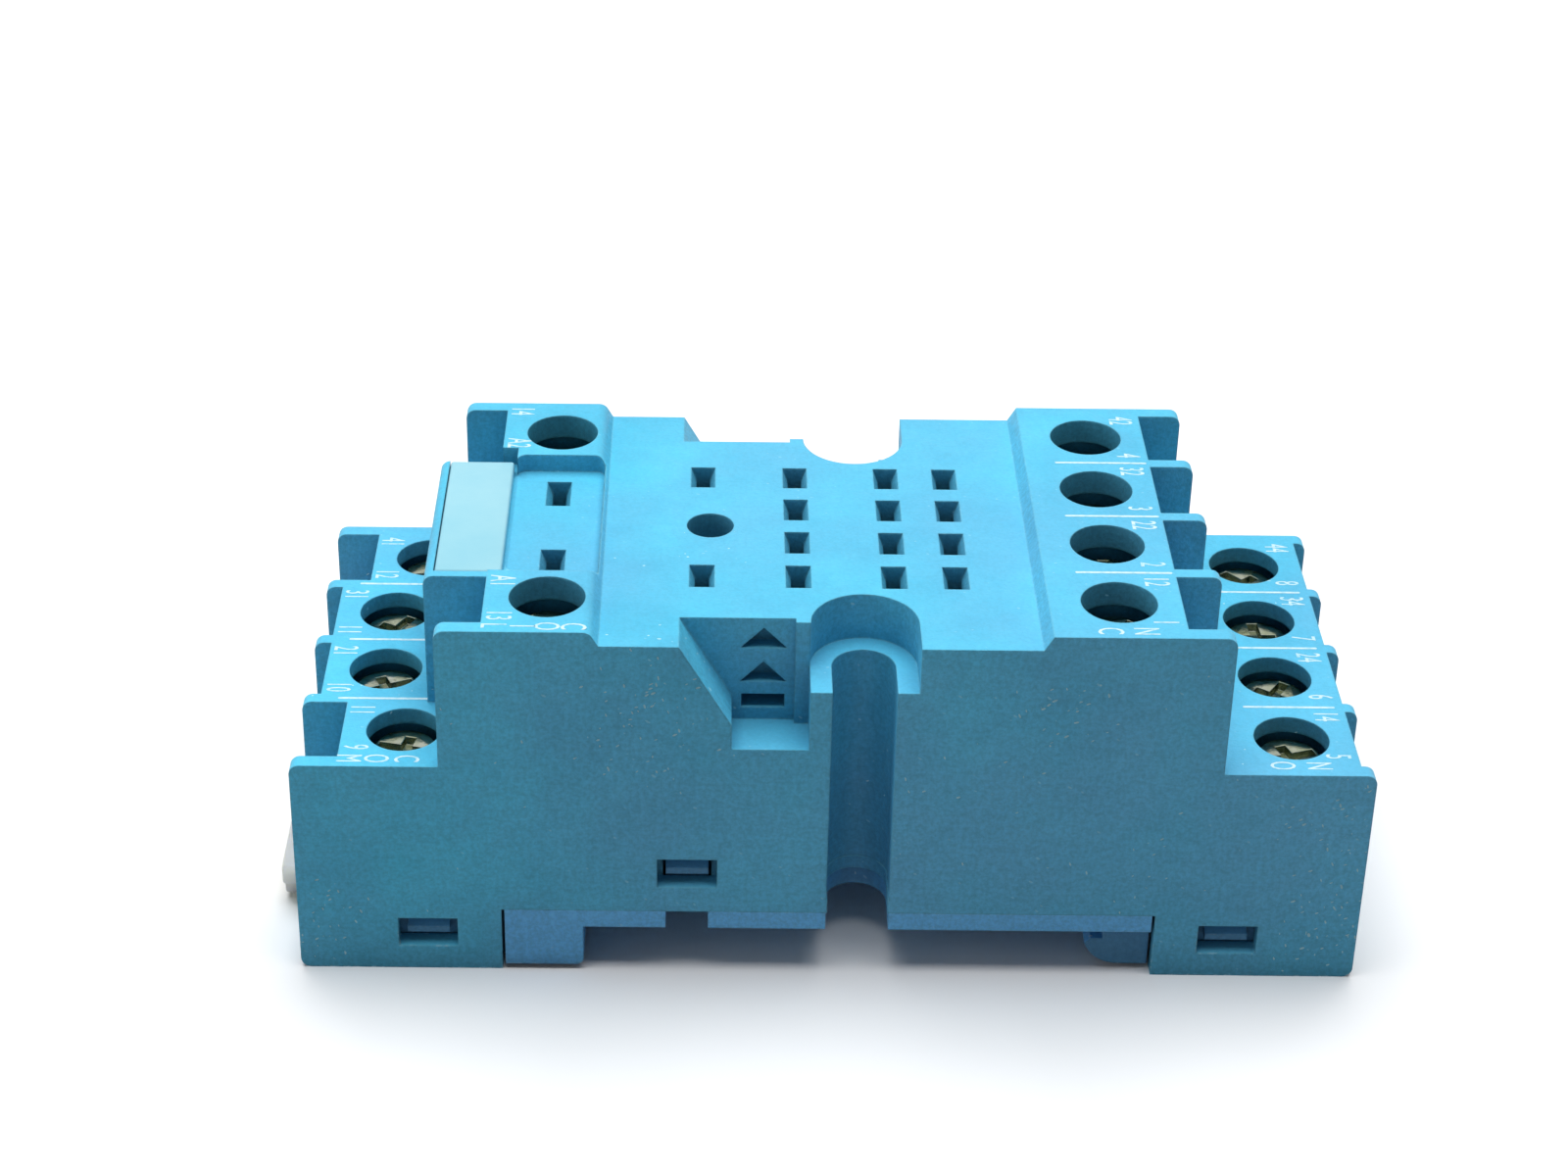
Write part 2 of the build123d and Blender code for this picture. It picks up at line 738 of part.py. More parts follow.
# Terminal screws with combined slot and cross drive
for t in terminals:
    z = levels(t.top)
    with BuildPart() as screw:
        with BuildSketch(Plane.XY.offset(z.tongue_top)):
            with Locations((t.x, t.y)):
                Circle(shank_diameter / 2)
        extrude(amount=z.head_seat - z.tongue_top)
        with BuildSketch(Plane.XY.offset(z.head_seat)):
            with Locations((t.x, t.y)):
                Circle(head_diameter / 2)
        extrude(amount=head_height)
        with BuildSketch(Plane.XY.offset(z.head_top)):
            with Locations((t.x, t.y)):
                Rectangle(drive_slot_width, drive_slot_length)
                Rectangle(drive_cross_length, drive_slot_width)
        extrude(amount=-drive_depth, mode=Mode.SUBTRACT)
    screw.part.label = f"screw_{t.number}"
    export_step(screw.part, f"parts/screw_{t.number}.step")

# Rising clamps: cages threaded on the screws, open round the tongues
for t in terminals:
    z = levels(t.top)
    cage_width = clamp_inner_width + 2 * clamp_side
    cage_height = z.clamp_top - z.clamp_bottom
    window_height_inside = cage_height - clamp_top - clamp_floor
    with BuildPart() as clamp:
        with BuildSketch(Plane.YZ.offset(t.x)):
            with Locations((t.y, z.clamp_bottom + cage_height / 2)):
                Rectangle(cage_width, cage_height)
            with Locations((t.y, z.wire_floor + window_height_inside / 2)):
                Rectangle(clamp_inner_width, window_height_inside, mode=Mode.SUBTRACT)
        extrude(amount=clamp_length / 2, both=True)
        with Locations((t.x, t.y, z.clamp_top - clamp_top / 2)):
            Cylinder(shank_diameter / 2 + thread_fit, clamp_top, mode=Mode.SUBTRACT)
    clamp.part.label = f"clamp_{t.number}"
    export_step(clamp.part, f"parts/clamp_{t.number}.step")


def leaf_points(x, foot, tip, side):
    """Section of one spring leaf: leaning in to its pinch and out again at its mouth."""
    pinch = foot + (tip - foot) * leaf_pinch_share
    inner = [(leaf_foot_gap / 2, foot), (leaf_pinch_gap / 2, pinch), (leaf_mouth_gap / 2, tip)]
    outer = [(gap + leaf_thickness, height) for gap, height in reversed(inner)]
    return [(x + side * gap, height) for gap, height in inner + outer]


# Contacts: a strip from the tongue in the clamp to a two-leaf spring below its slot
for t in terminals:
    z = levels(t.top)
    springs = [(t.slot_x, t.slot_y, leaf_top)]
    if t in coil_set:
        springs.append((module_slot_x, module_slot_y(t), module_chamber_top - chamber_fit))
    with BuildPart() as contact:
        with BuildSketch(Plane.XY.offset(z.tongue_bottom)):
            Polygon(*strip_outline(t), align=None)
            if t in coil_set:
                for low, high in module_arm(t):
                    with Locations(mid(low, high)):
                        Rectangle(*size(low, high))
        extrude(amount=tongue_thickness)
        # The strips of the lower tier rise to the level of the springs
        if t.top == lower_tier_top:
            left, right = t.slot_x - spring_half, t.slot_x + spring_half
            near, far = t.slot_y - leaf_width / 2, t.slot_y + leaf_width / 2
            riser = (left, near, z.tongue_bottom), (left + tongue_thickness, far, upper.tongue_top)
            bridge = (left, near, upper.tongue_bottom), (right, far, upper.tongue_top)
            for low, high in (riser, bridge):
                with Locations(mid(low, high)):
                    Box(*size(low, high))
        for spring_x, spring_y, tip in springs:
            with BuildSketch(Plane.XZ.offset(-spring_y)):
                for side in (-1, 1):
                    with BuildLine():
                        Polyline(*leaf_points(spring_x, upper.tongue_top, tip, side), close=True)
                    make_face()
            extrude(amount=leaf_width / 2, both=True)
    contact.part.label = f"contact_{t.number}"
    export_step(contact.part, f"parts/contact_{t.number}.step")
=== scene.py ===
import math

import bpy
from mathutils import Matrix, Vector


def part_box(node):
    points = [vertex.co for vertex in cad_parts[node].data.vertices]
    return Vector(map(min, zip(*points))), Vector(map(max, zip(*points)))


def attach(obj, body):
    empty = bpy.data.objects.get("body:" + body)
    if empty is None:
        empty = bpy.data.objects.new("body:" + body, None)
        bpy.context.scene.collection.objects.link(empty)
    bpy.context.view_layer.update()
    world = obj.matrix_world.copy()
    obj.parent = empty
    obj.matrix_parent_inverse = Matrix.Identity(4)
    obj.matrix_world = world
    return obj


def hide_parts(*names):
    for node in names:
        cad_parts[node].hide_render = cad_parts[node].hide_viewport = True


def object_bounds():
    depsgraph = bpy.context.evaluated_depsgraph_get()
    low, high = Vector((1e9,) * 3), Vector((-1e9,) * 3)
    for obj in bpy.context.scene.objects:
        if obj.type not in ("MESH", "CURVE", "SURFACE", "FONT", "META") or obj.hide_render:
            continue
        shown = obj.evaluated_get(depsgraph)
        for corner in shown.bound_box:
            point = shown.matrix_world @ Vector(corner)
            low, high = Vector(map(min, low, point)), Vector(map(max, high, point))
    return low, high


# Looks of a blue screw-terminal relay socket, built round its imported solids. Metres, +Z up.
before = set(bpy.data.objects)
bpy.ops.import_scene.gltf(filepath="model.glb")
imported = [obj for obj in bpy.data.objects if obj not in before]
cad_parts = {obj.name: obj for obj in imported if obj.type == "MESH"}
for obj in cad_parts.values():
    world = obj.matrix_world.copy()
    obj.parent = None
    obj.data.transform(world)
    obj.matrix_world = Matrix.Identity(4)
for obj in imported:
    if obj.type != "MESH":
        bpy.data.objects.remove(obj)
cad_low, cad_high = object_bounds()

MM = 0.001
MERGE = 1e-7
TERMINALS = range(1, 15)
UPPER_TERMINALS = (1, 2, 3, 4, 13, 14)

# Camera, as a photograph of 1600 x 1200 pixels sees the socket
CAMERA_PLACE = (-9.185 * MM, -183.586 * MM, 130.587 * MM)
CAMERA_TURN = (60.847, -0.436, 0.363)
CAMERA_LENS = 71.79
CAMERA_SENSOR = 36.0
CAMERA_SHIFT = (0.05, -0.0875)
CAMERA_NEAREST = 0.01

# Studio
FLOOR_SIDE = 4.0
FLOOR_SHOWN = (0.97, 0.98, 0.99, 1)
FLOOR_BOUNCE = (0.34, 0.35, 0.37, 1)
SKY_SHOWN = (1.0, 1.0, 1.0, 1)
SKY_LIGHT = (0.088, 0.088, 0.094, 1)
SOFTBOX_SIDE = 0.62
SOFTBOX_PLACE = (0.0, 0.10, 0.62)
SOFTBOX_POWER = 5.85
FILL_SIDE = 0.5
FILL_PLACE = (-0.45, -0.55, 0.40)
FILL_POWER = 0.13
END_SIDE = 0.4
END_PLACE = (-0.55, -0.06, 0.13)
END_POWER = 0.7

# Terminal screw: its head, the slot and cross in it, and its thread, with angles in degrees
HEAD_RADIUS = 2.25 * MM
HEAD_HEIGHT = 1.3 * MM
HEAD_ROUND = 0.22 * MM
HEAD_ROUND_STEPS = 4
HEAD_UNDER_ROUND = 0.06 * MM
HEAD_SIDES = 56
DRIVE_DEPTH = 0.65 * MM
DRIVE_SLOT = (3.7 * MM, 0.75 * MM)
DRIVE_CROSS = (2.7 * MM, 0.75 * MM)
DRIVE_ROUND = 0.05 * MM
DRIVE_SHARP = 50
DRIVE_TURN = 37.0
DRIVE_FIRST_TURN = 14.0
SHANK_CREST = 1.49 * MM
SHANK_ROOT = 1.24 * MM
SHANK_SIDES = 32
SHANK_POINT = 0.3 * MM
THREAD_PITCH = 0.5 * MM
THREAD_STEPS = 28
THREAD_SIDES = 3
THREAD_RELIEF = 0.35 * MM
SINK = 0.08 * MM
# Depth of an equal-sided triangle for each unit of its outer radius
TRIANGLE_DEPTH = 1.5

# Rising clamp: a cage folded from strip, with angles in degrees
CAGE_SIDE = 0.65 * MM
CAGE_TOP = 1.1 * MM
CAGE_FLOOR = 0.7 * MM
CAGE_ROUND = 0.55 * MM
CAGE_ROUND_STEPS = 5
CAGE_EDGE = 0.06 * MM
CAGE_SHARP = 40
CAGE_HOLE = 1.56 * MM
CAGE_RIDGES = 5
CAGE_RIDGE_PITCH = 0.8 * MM
CAGE_RIDGE_RADIUS = 0.16 * MM
CAGE_RIDGE_SIDES = 12

# Print on the terminal blocks, read from the coil end
UPPER_HEAD_DEPTH = 2.4 * MM
LOWER_HEAD_DEPTH = 1.5 * MM
PRINT_HEIGHT = 1.75 * MM
PRINT_NARROW = 0.50
PRINT_CAP_SHARE = 0.73
PRINT_FILM = 0.03 * MM
PRINT_TURN = -math.pi / 2
LINE_WIDTH = 0.22 * MM
LINE_ROUND = 0.1 * MM
LINE_ROUND_STEPS = 3
PRINT_CURVE_STEPS = 3

# Marks beside the wells, in millimetres from a well's middle
RIGHT_OFFSET = 2.77
LEFT_OFFSET = -2.97

# Rounding and shading, with angles in degrees
CLIP_ROUND = 0.25 * MM
LABEL_ROUND = 0.18 * MM
ROUND_STEPS = 3
ROUND_SHARP = 30
SMALL_ROUND_STEPS = 2
FLAT_ANGLE = 0.5
PLASTIC_SMOOTH = 35
METAL_SMOOTH = 40

# Patterns: how many to a metre, noise detail and roughness, and the values between which a pattern is cut
EDGE_SAMPLES = 4
EDGE_COSINES = (0.99, 0.80)
RUB_SCALE = 900.0
RUB_RANGE = (0.36, 0.62)
RUB_SHARES = (0.15, 1.0)
CHIP_SCALE = 1900.0
CHIP_NOISE = (4.0, 0.65)
CHIP_RANGE = (0.54, 0.58)
FIBRE_STRETCHES = ((0.18, 1.0, 1.0), (1.0, 0.6, 0.18))
FIBRE_SCALE = 2700.0
FIBRE_NOISE = (3.0, 0.62)
FIBRE_RANGE = (0.78, 1.22)
SPECK_SCALE = 3300.0
SPECK_NOISE = (4.0, 0.7)
SPECK_RANGE = (0.36, 0.64)
SPECK_SHARE = 0.7
FINE_NOISE = (2.0, 0.6)
NICK_AXIS = (0.2, 1.0, 0.3)
NICK_WAVE_SCALE = 900.0
NICK_WAVE_REACH = 0.35 * MM
NICK_STRETCH = (0.42, 1.0, 1.0)
NICK_SIZES = (0.35, 1.0)
BLOTCH_NOISE = (5.0, 0.62)
BLOTCH_RANGE = (0.32, 0.68)
SHELTER_SAMPLES = 4
SHELTER_DEEPEST = 0.12

# Blue plastics: what both share, with turns in radians, then each one's colours and finish
PLASTIC_GLOSS = 0.3
CLOUD_SCALE = 110.0
CLOUD_SHARE = 0.62
BROAD_SCALE = 24.0
BROAD_SHARE = 0.8
SHEEN_SCALE = 900.0
SHEEN_BELOW = 0.06
SHEEN_ABOVE = 0.08
GRAIN_FIBRE = 0.3
GRAIN_DEPTH = 0.03 * MM
GRAIN_TONES = (0.1, 0.9)
GRAIN_SHADES = (0.84, 1.14)
GRAIN_LOST_ON_TOPS = 0.65
TOP_SLOPES = (0.4, 0.9)
# Painted shade: how much of it stays on upward faces, and how much lies on set-back lug faces
PAINTED_SHADE_ON_TOPS = 0.35
PAINTED_SHADE_ON_LUGS = 0.62
FLECK_SCALE = 2600.0
FLECK_SIZE = 0.20
FLECK_TURN = 2.6
FLECK_RANGE = (0.3, 1.0)
FLECK_SHARES = (0.04, 0.20)
FLECK_TINT = 0.25
FLECK_LIFT = 0.35
NICK_SCALE = 2500.0
NICK_SIZE = 0.20
NICK_TURNS = (0.5, 1.9)
NICK_TINT = 0.7
NICK_PATCH_SCALE = 70.0
NICK_PATCH_DETAIL = 2.0
NICK_PATCH_RANGE = (0.50, 0.75)
NICK_PATCH_SHARES = (0.0, 0.12)
CHIP_HEIGHTS = (1.0 * MM, -3.0 * MM)
CHIP_SHARES = (0.12, 0.9)
# In each look the darkest colour is painted shade for recesses and set-back lug faces; the pale edge colour
# is partly edge wear and partly painted edge highlight
HOUSING_LOOK = {
    "plain": (0.092, 0.59, 0.83, 1),
    "deep": (0.055, 0.355, 0.55, 1),
    "drift": (0.150, 0.465, 0.72, 1),
    "rubbed_and_highlit": (0.24, 0.68, 0.84, 1),
    "bare": (0.52, 0.81, 0.87, 1),
    "painted_shade": (0.018, 0.105, 0.165, 1),
    "edge": 0.22 * MM,
    "wear_and_highlight": 0.5,
    "grain": 5200.0,
    "roughness": 0.5,
    "shelter_reach": 5.0 * MM,
    "shelter_start": 0.66,
    "shelter_amount": 0.75,
    "lug_faces_within": 0.0,
}
BASE_LOOK = {
    "plain": (0.175, 0.58, 0.98, 1),
    "deep": (0.135, 0.48, 0.88, 1),
    "drift": (0.165, 0.54, 0.92, 1),
    "rubbed_and_highlit": (0.30, 0.58, 0.80, 1),
    "bare": (0.54, 0.76, 0.90, 1),
    "painted_shade": (0.035, 0.11, 0.19, 1),
    "edge": 0.14 * MM,
    "wear_and_highlight": 0.5,
    "grain": 4300.0,
    "roughness": 0.45,
    "shelter_reach": 1.5 * MM,
    "shelter_start": 1.0,
    "shelter_amount": 1.0,
    "lug_faces_within": 15.1 * MM,
}

# Knocked places on the near face: centre and reach, and where inside the reach they are worst
NEAR_FACE = -15.4 * MM
SCUFFS = (
    ((-13.2 * MM, NEAR_FACE, 17.0 * MM), 6.5 * MM),
    ((14.0 * MM, NEAR_FACE, 17.5 * MM), 4.0 * MM),
    ((32.6 * MM, NEAR_FACE, 8.5 * MM), 4.5 * MM),
    ((33.2 * MM, NEAR_FACE, 0.0 * MM), 5.0 * MM),
    ((-35.5 * MM, NEAR_FACE, 0.5 * MM), 4.5 * MM),
)
SCUFF_CORE = 0.3
SCUFF_SHARE = 0.90

# Platings: what all share, then each one's colours and roughness
PLATE_EDGE = 0.06 * MM
PLATE_WEAR = 0.8
PLATE_RUBBED = (0.86, 0.86, 0.84, 1)
PLATE_PATCH_SCALE = 520.0
PLATE_PATCH_ROUGHER = 0.18
PLATE_TARNISH_SCALE = 1700.0
PLATE_TARNISH_RANGE = (0.55, 1.0)
PLATE_TARNISH_SHARES = (0.0, 0.6)
PLATE_GRAIN_SCALE = 4200.0
PLATE_GRAIN_NOISE = (3.0, 0.6)
PLATE_GRAIN_DEPTH = 0.012 * MM
SCREW_PLATING = {
    "bright": (0.46, 0.49, 0.42, 1),
    "stain": (0.30, 0.34, 0.18, 1),
    "tarnish": (0.06, 0.08, 0.05, 1),
    "roughness": 0.12,
}
CLAMP_PLATING = {
    "bright": (0.58, 0.60, 0.56, 1),
    "stain": (0.46, 0.47, 0.34, 1),
    "tarnish": (0.20, 0.20, 0.17, 1),
    "roughness": 0.32,
}
CONTACT_BRASS = {
    "bright": (0.72, 0.50, 0.20, 1),
    "stain": (0.62, 0.40, 0.14, 1),
    "tarnish": (0.30, 0.18, 0.07, 1),
    "roughness": 0.28,
}

# Nylon of the rail clip
NYLON_MILKY = (0.98, 0.95, 0.74, 1)
NYLON_YELLOWED = (0.96, 0.93, 0.62, 1)
NYLON_SCATTER = 1.0
NYLON_SCATTER_REACH = 12.0 * MM
NYLON_SCATTER_COLOURS = (1.0, 0.9, 0.6)
NYLON_CLOUD_SCALE = 240.0
NYLON_ROUGHNESS = (0.42, 0.52)
NYLON_GRAIN = 3800.0
NYLON_FIBRE = 0.2
NYLON_GRAIN_DEPTH = 0.012 * MM

# Label stock
LABEL_PALE = (0.32, 0.62, 0.71, 1)
LABEL_DULL = (0.27, 0.58, 0.69, 1)
LABEL_RUBBED = (0.62, 0.84, 0.90, 1)
LABEL_MARKED = (0.05, 0.12, 0.15, 1)
LABEL_GLOSS = 0.4
LABEL_EDGE = 0.12 * MM
LABEL_WEAR = 0.5
LABEL_CLOUD_SCALE = 160.0
LABEL_MARK_SCALE = 900.0
LABEL_MARK_SIZE = 0.10
LABEL_MARK_SHARE = 0.05
LABEL_ROUGHNESS = (0.36, 0.46)
LABEL_GRAIN = 6200.0
LABEL_FIBRE = 0.2
LABEL_GRAIN_DEPTH = 0.006 * MM

# Ink
INK_FULL = (0.62, 0.80, 0.85, 1)
INK_THIN = (0.34, 0.66, 0.77, 1)
INK_ROUGHNESS = 0.55
INK_GLOSS = 0.3
INK_THIN_SCALE = 2600.0
INK_THIN_RANGE = (0.45, 0.72)
INK_GRAIN_SCALE = 9000.0
INK_GRAIN_DETAIL = 2.0
INK_GRAIN_DEPTH = 0.004 * MM


# Small modelling steps


def select_only(piece):
    """Makes one piece the only selected and active one."""
    bpy.ops.object.select_all(action="DESELECT")
    piece.select_set(True)
    bpy.context.view_layer.objects.active = piece


def new_piece(name):
    """Names the primitive just added and puts its place into its mesh."""
    piece = bpy.context.active_object
    piece.name = name
    piece.data.name = name
    bpy.ops.object.transform_apply(location=True, rotation=True, scale=True)
    return piece


def add_cylinder(name, radius, low, high, sides):
    """An upright cylinder on the origin's axis."""
    bpy.ops.object.select_all(action="DESELECT")
    bpy.ops.mesh.primitive_cylinder_add(
        vertices=sides, radius=radius, depth=high - low, location=(0, 0, (low + high) / 2)
    )
    return new_piece(name)


def add_box(name, low, high):
    """A box between its lowest and highest corners."""
    low, high = Vector(low), Vector(high)
    bpy.ops.object.select_all(action="DESELECT")
    bpy.ops.mesh.primitive_cube_add(size=1, location=(low + high) / 2, scale=high - low)
    return new_piece(name)


def bevel_edges(piece, chosen, width, segments):
    """Rounds the edges whose two ends both pass the test."""
    select_only(piece)
    bpy.ops.object.mode_set(mode="EDIT")
    bpy.ops.mesh.select_mode(type="EDGE")
    bpy.ops.mesh.select_all(action="DESELECT")
    bpy.ops.object.mode_set(mode="OBJECT")
    vertices = piece.data.vertices
    for edge in piece.data.edges:
        edge.select = chosen(*(vertices[i].co for i in edge.vertices))
    bpy.ops.object.mode_set(mode="EDIT")
    bpy.ops.mesh.bevel(offset=width, segments=segments, affect="EDGES")
    bpy.ops.object.mode_set(mode="OBJECT")


def cut_away(piece, tool):
    """Cuts a tool from a piece and clears the tool away."""
    select_only(piece)
    modifier = piece.modifiers.new("cut", "BOOLEAN")
    modifier.operation = "DIFFERENCE"
    modifier.solver = "EXACT"
    modifier.object = tool
    bpy.ops.object.modifier_apply(modifier=modifier.name)
    bpy.data.objects.remove(tool)


def round_edges(piece, width, segments, angle):
    """Rounds every edge sharper than the angle."""
    select_only(piece)
    modifier = piece.modifiers.new("round", "BEVEL")
    modifier.width = width
    modifier.segments = segments
    modifier.limit_method = "ANGLE"
    modifier.angle_limit = math.radians(angle)
    bpy.ops.object.modifier_apply(modifier=modifier.name)


def smooth(piece, angle):
    """Smooth shading, broken at edges sharper than the angle."""
    select_only(piece)
    bpy.ops.object.shade_smooth_by_angle(angle=math.radians(angle))


def merge_doubles(piece):
    """Merges the vertices that lie on each other."""
    select_only(piece)
    bpy.ops.object.mode_set(mode="EDIT")
    bpy.ops.mesh.select_all(action="SELECT")
    bpy.ops.mesh.remove_doubles(threshold=MERGE)
    bpy.ops.object.mode_set(mode="OBJECT")


def join(name, pieces):
    """Joins several pieces into one."""
    bpy.ops.object.select_all(action="DESELECT")
    for piece in pieces:
        piece.select_set(True)
    bpy.context.view_layer.objects.active = pieces[0]
    bpy.ops.object.join()
    pieces[0].name = name
    pieces[0].data.name = name
    return pieces[0]


def placed_copy(master, name, matrix):
    """A copy with its own mesh, moved inside that mesh."""
    copy = master.copy()
    copy.data = master.data.copy()
    copy.name = name
    copy.data.name = name
    copy.data.transform(matrix)
    bpy.context.scene.collection.objects.link(copy)
    return copy


def rounded_copy(node, name, width):
    """A copy of a solid, merged into one skin, with its edges rounded."""
    piece = bpy.data.objects.new(name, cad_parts[node].data.copy())
    bpy.context.scene.collection.objects.link(piece)
    merge_doubles(piece)
    bpy.ops.object.mode_set(mode="EDIT")
    bpy.ops.mesh.select_all(action="SELECT")
    bpy.ops.mesh.dissolve_limited(angle_limit=math.radians(FLAT_ANGLE))
    bpy.ops.object.mode_set(mode="OBJECT")
    round_edges(piece, width, ROUND_STEPS, ROUND_SHARP)
    smooth(piece, PLASTIC_SMOOTH)
    return piece


def finish_piece(piece, body, slot, material, *nodes):
    """Gives a piece its material, its body and the solids that it stands for; the slot is not used."""
    piece.data.materials.clear()
    piece.data.materials.append(material)
    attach(piece, body)
    if nodes:
        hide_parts(*nodes)


# Shader helpers

MIX_FACTOR, MIX_A, MIX_B, MIX_RESULT = 0, 6, 7, 2
MIX_LOW, MIX_HIGH, MIX_VALUE = 2, 3, 0
FLOAT = "NodeSocketFloat"
VECTOR = "NodeSocketVector"


def add_node(tree, kind, inputs=None, **settings):
    """Adds a node, sets its properties, and fills its inputs with values or links."""
    made = tree.nodes.new(kind)
    for key, value in settings.items():
        setattr(made, key, value)
    for key, value in (inputs or {}).items():
        if isinstance(value, bpy.types.NodeSocket):
            tree.links.new(value, made.inputs[key])
        else:
            made.inputs[key].default_value = value
    return made


def sum_of(tree, operation, first, second, clamp=False):
    """One sum on two values."""
    made = add_node(tree, "ShaderNodeMath", {0: first, 1: second}, operation=operation, use_clamp=clamp)
    return made.outputs[0]


def mix_colour(tree, factor, first, second, blend="MIX"):
    """A mix of two colours."""
    inputs = {MIX_FACTOR: factor, MIX_A: first, MIX_B: second}
    made = add_node(tree, "ShaderNodeMix", inputs, data_type="RGBA", blend_type=blend)
    return made.outputs[MIX_RESULT]


def mix_value(tree, factor, first, second):
    """A mix of two values."""
    inputs = {MIX_FACTOR: factor, MIX_LOW: first, MIX_HIGH: second}
    return add_node(tree, "ShaderNodeMix", inputs).outputs[MIX_VALUE]


def vector_sum(tree, operation, inputs):
    """One sum that gives a vector."""
    return add_node(tree, "ShaderNodeVectorMath", inputs, operation=operation).outputs["Vector"]


def axis_of(tree, vector, axis):
    """One axis of a vector."""
    return add_node(tree, "ShaderNodeSeparateXYZ", {"Vector": vector}).outputs[axis]


def remap(tree, value, low, high, to_low=0.0, to_high=1.0):
    """A value stretched from one range to another, and held inside it."""
    inputs = {"Value": value, "From Min": low, "From Max": high, "To Min": to_low, "To Max": to_high}
    return add_node(tree, "ShaderNodeMapRange", inputs).outputs["Result"]


def new_group(name, inputs, outputs):
    """An empty node group with named float inputs and typed outputs."""
    tree = bpy.data.node_groups.new(name, "ShaderNodeTree")
    for key in inputs:
        tree.interface.new_socket(key, in_out="INPUT", socket_type=FLOAT)
    for key, kind in outputs.items():
        tree.interface.new_socket(key, in_out="OUTPUT", socket_type=kind)
    return tree, add_node(tree, "NodeGroupInput").outputs, add_node(tree, "NodeGroupOutput").inputs


def use_group(tree, group, **inputs):
    """Places a node group with its own values and gives its outputs."""
    values = {key.title(): value for key, value in inputs.items()}
    return add_node(tree, "ShaderNodeGroup", values, node_tree=group).outputs


def object_place(tree):
    """Object coordinates."""
    return add_node(tree, "ShaderNodeTexCoord").outputs["Object"]


def noise(tree, place, scale, detail=3.0, roughness=0.55):
    """A noise pattern's value."""
    inputs = {"Vector": place, "Scale": scale, "Detail": detail, "Roughness": roughness}
    return add_node(tree, "ShaderNodeTexNoise", inputs).outputs["Fac"]


# Patterns that the materials share


def make_worn_edge():
    """Rounded edge normals, a mask of the edges rubbed pale, which on the plastics is partly painted edge
    highlight, and a mask of the chips along them.
    """
    outputs = {"Mask": FLOAT, "Chips": FLOAT, "Normal": VECTOR}
    tree, given, out = new_group("worn_highlit_edge", ("Radius", "Amount"), outputs)
    bevel = add_node(tree, "ShaderNodeBevel", {"Radius": given["Radius"]}, samples=EDGE_SAMPLES)
    rounded = bevel.outputs["Normal"]
    flat = add_node(tree, "ShaderNodeNewGeometry").outputs["Normal"]
    dot = add_node(tree, "ShaderNodeVectorMath", {0: rounded, 1: flat}, operation="DOT_PRODUCT")
    turned = remap(tree, dot.outputs["Value"], *EDGE_COSINES)
    place = object_place(tree)
    patchy = remap(tree, noise(tree, place, RUB_SCALE), *RUB_RANGE, *RUB_SHARES)
    # On the plastics this pale edge mask is partly wear and partly painted edge highlight
    rubbed_and_highlit = sum_of(tree, "MULTIPLY", turned, patchy)
    tree.links.new(sum_of(tree, "MULTIPLY", rubbed_and_highlit, given["Amount"], clamp=True), out["Mask"])
    broken = remap(tree, noise(tree, place, CHIP_SCALE, *CHIP_NOISE), *CHIP_RANGE)
    tree.links.new(sum_of(tree, "MULTIPLY", turned, broken), out["Chips"])
    tree.links.new(rounded, out["Normal"])
    return tree


def make_moulded_grain():
    """Fine matt grain with specks and short crossing fibres: its height, and its tone from 0 to 1."""
    outputs = {"Height": FLOAT, "Tone": FLOAT}
    tree, given, out = new_group("moulded_grain", ("Scale", "Fibre"), outputs)
    place = object_place(tree)
    strands = []
    for stretch in FIBRE_STRETCHES:
        mapped = add_node(tree, "ShaderNodeMapping", {"Vector": place, "Scale": stretch})
        strands.append(noise(tree, mapped.outputs["Vector"], FIBRE_SCALE, *FIBRE_NOISE))
    woven = remap(tree, sum_of(tree, "ADD", *strands), *FIBRE_RANGE)
    specks = remap(tree, noise(tree, place, SPECK_SCALE, *SPECK_NOISE), *SPECK_RANGE)
    tone = mix_value(tree, SPECK_SHARE, woven, specks)
    fine = noise(tree, place, given["Scale"], *FINE_NOISE)
    height = sum_of(tree, "ADD", fine, sum_of(tree, "MULTIPLY", tone, given["Fibre"]))
    tree.links.new(height, out["Height"])
    tree.links.new(tone, out["Tone"])
    return tree


def make_nicks():
    """Mask of short thin scratches of uneven size that lie about one way."""
    tree, given, out = new_group("nicks", ("Scale", "Size", "Turn", "Share"), {"Mask": FLOAT})
    turn = {"Vector": object_place(tree), "Axis": NICK_AXIS, "Angle": given["Turn"]}
    turned = add_node(tree, "ShaderNodeVectorRotate", turn).outputs["Vector"]
    wave = add_node(tree, "ShaderNodeTexNoise", {"Vector": turned, "Scale": NICK_WAVE_SCALE})
    offset = vector_sum(tree, "SCALE", {0: wave.outputs["Color"], "Scale": NICK_WAVE_REACH})
    bent = vector_sum(tree, "ADD", {0: turned, 1: offset})
    drawn = add_node(tree, "ShaderNodeMapping", {"Vector": bent, "Scale": NICK_STRETCH}).outputs["Vector"]
    cells = add_node(tree, "ShaderNodeTexVoronoi", {"Vector": drawn, "Scale": given["Scale"]}).outputs
    chance = add_node(tree, "ShaderNodeSeparateColor", {"Color": cells["Color"]}).outputs
    size = sum_of(tree, "MULTIPLY", given["Size"], remap(tree, chance["Green"], 0.0, 1.0, *NICK_SIZES))
    near = sum_of(tree, "LESS_THAN", cells["Distance"], size)
    chosen = sum_of(tree, "LESS_THAN", chance["Red"], given["Share"])
    tree.links.new(sum_of(tree, "MULTIPLY", near, chosen), out["Mask"])
    return tree


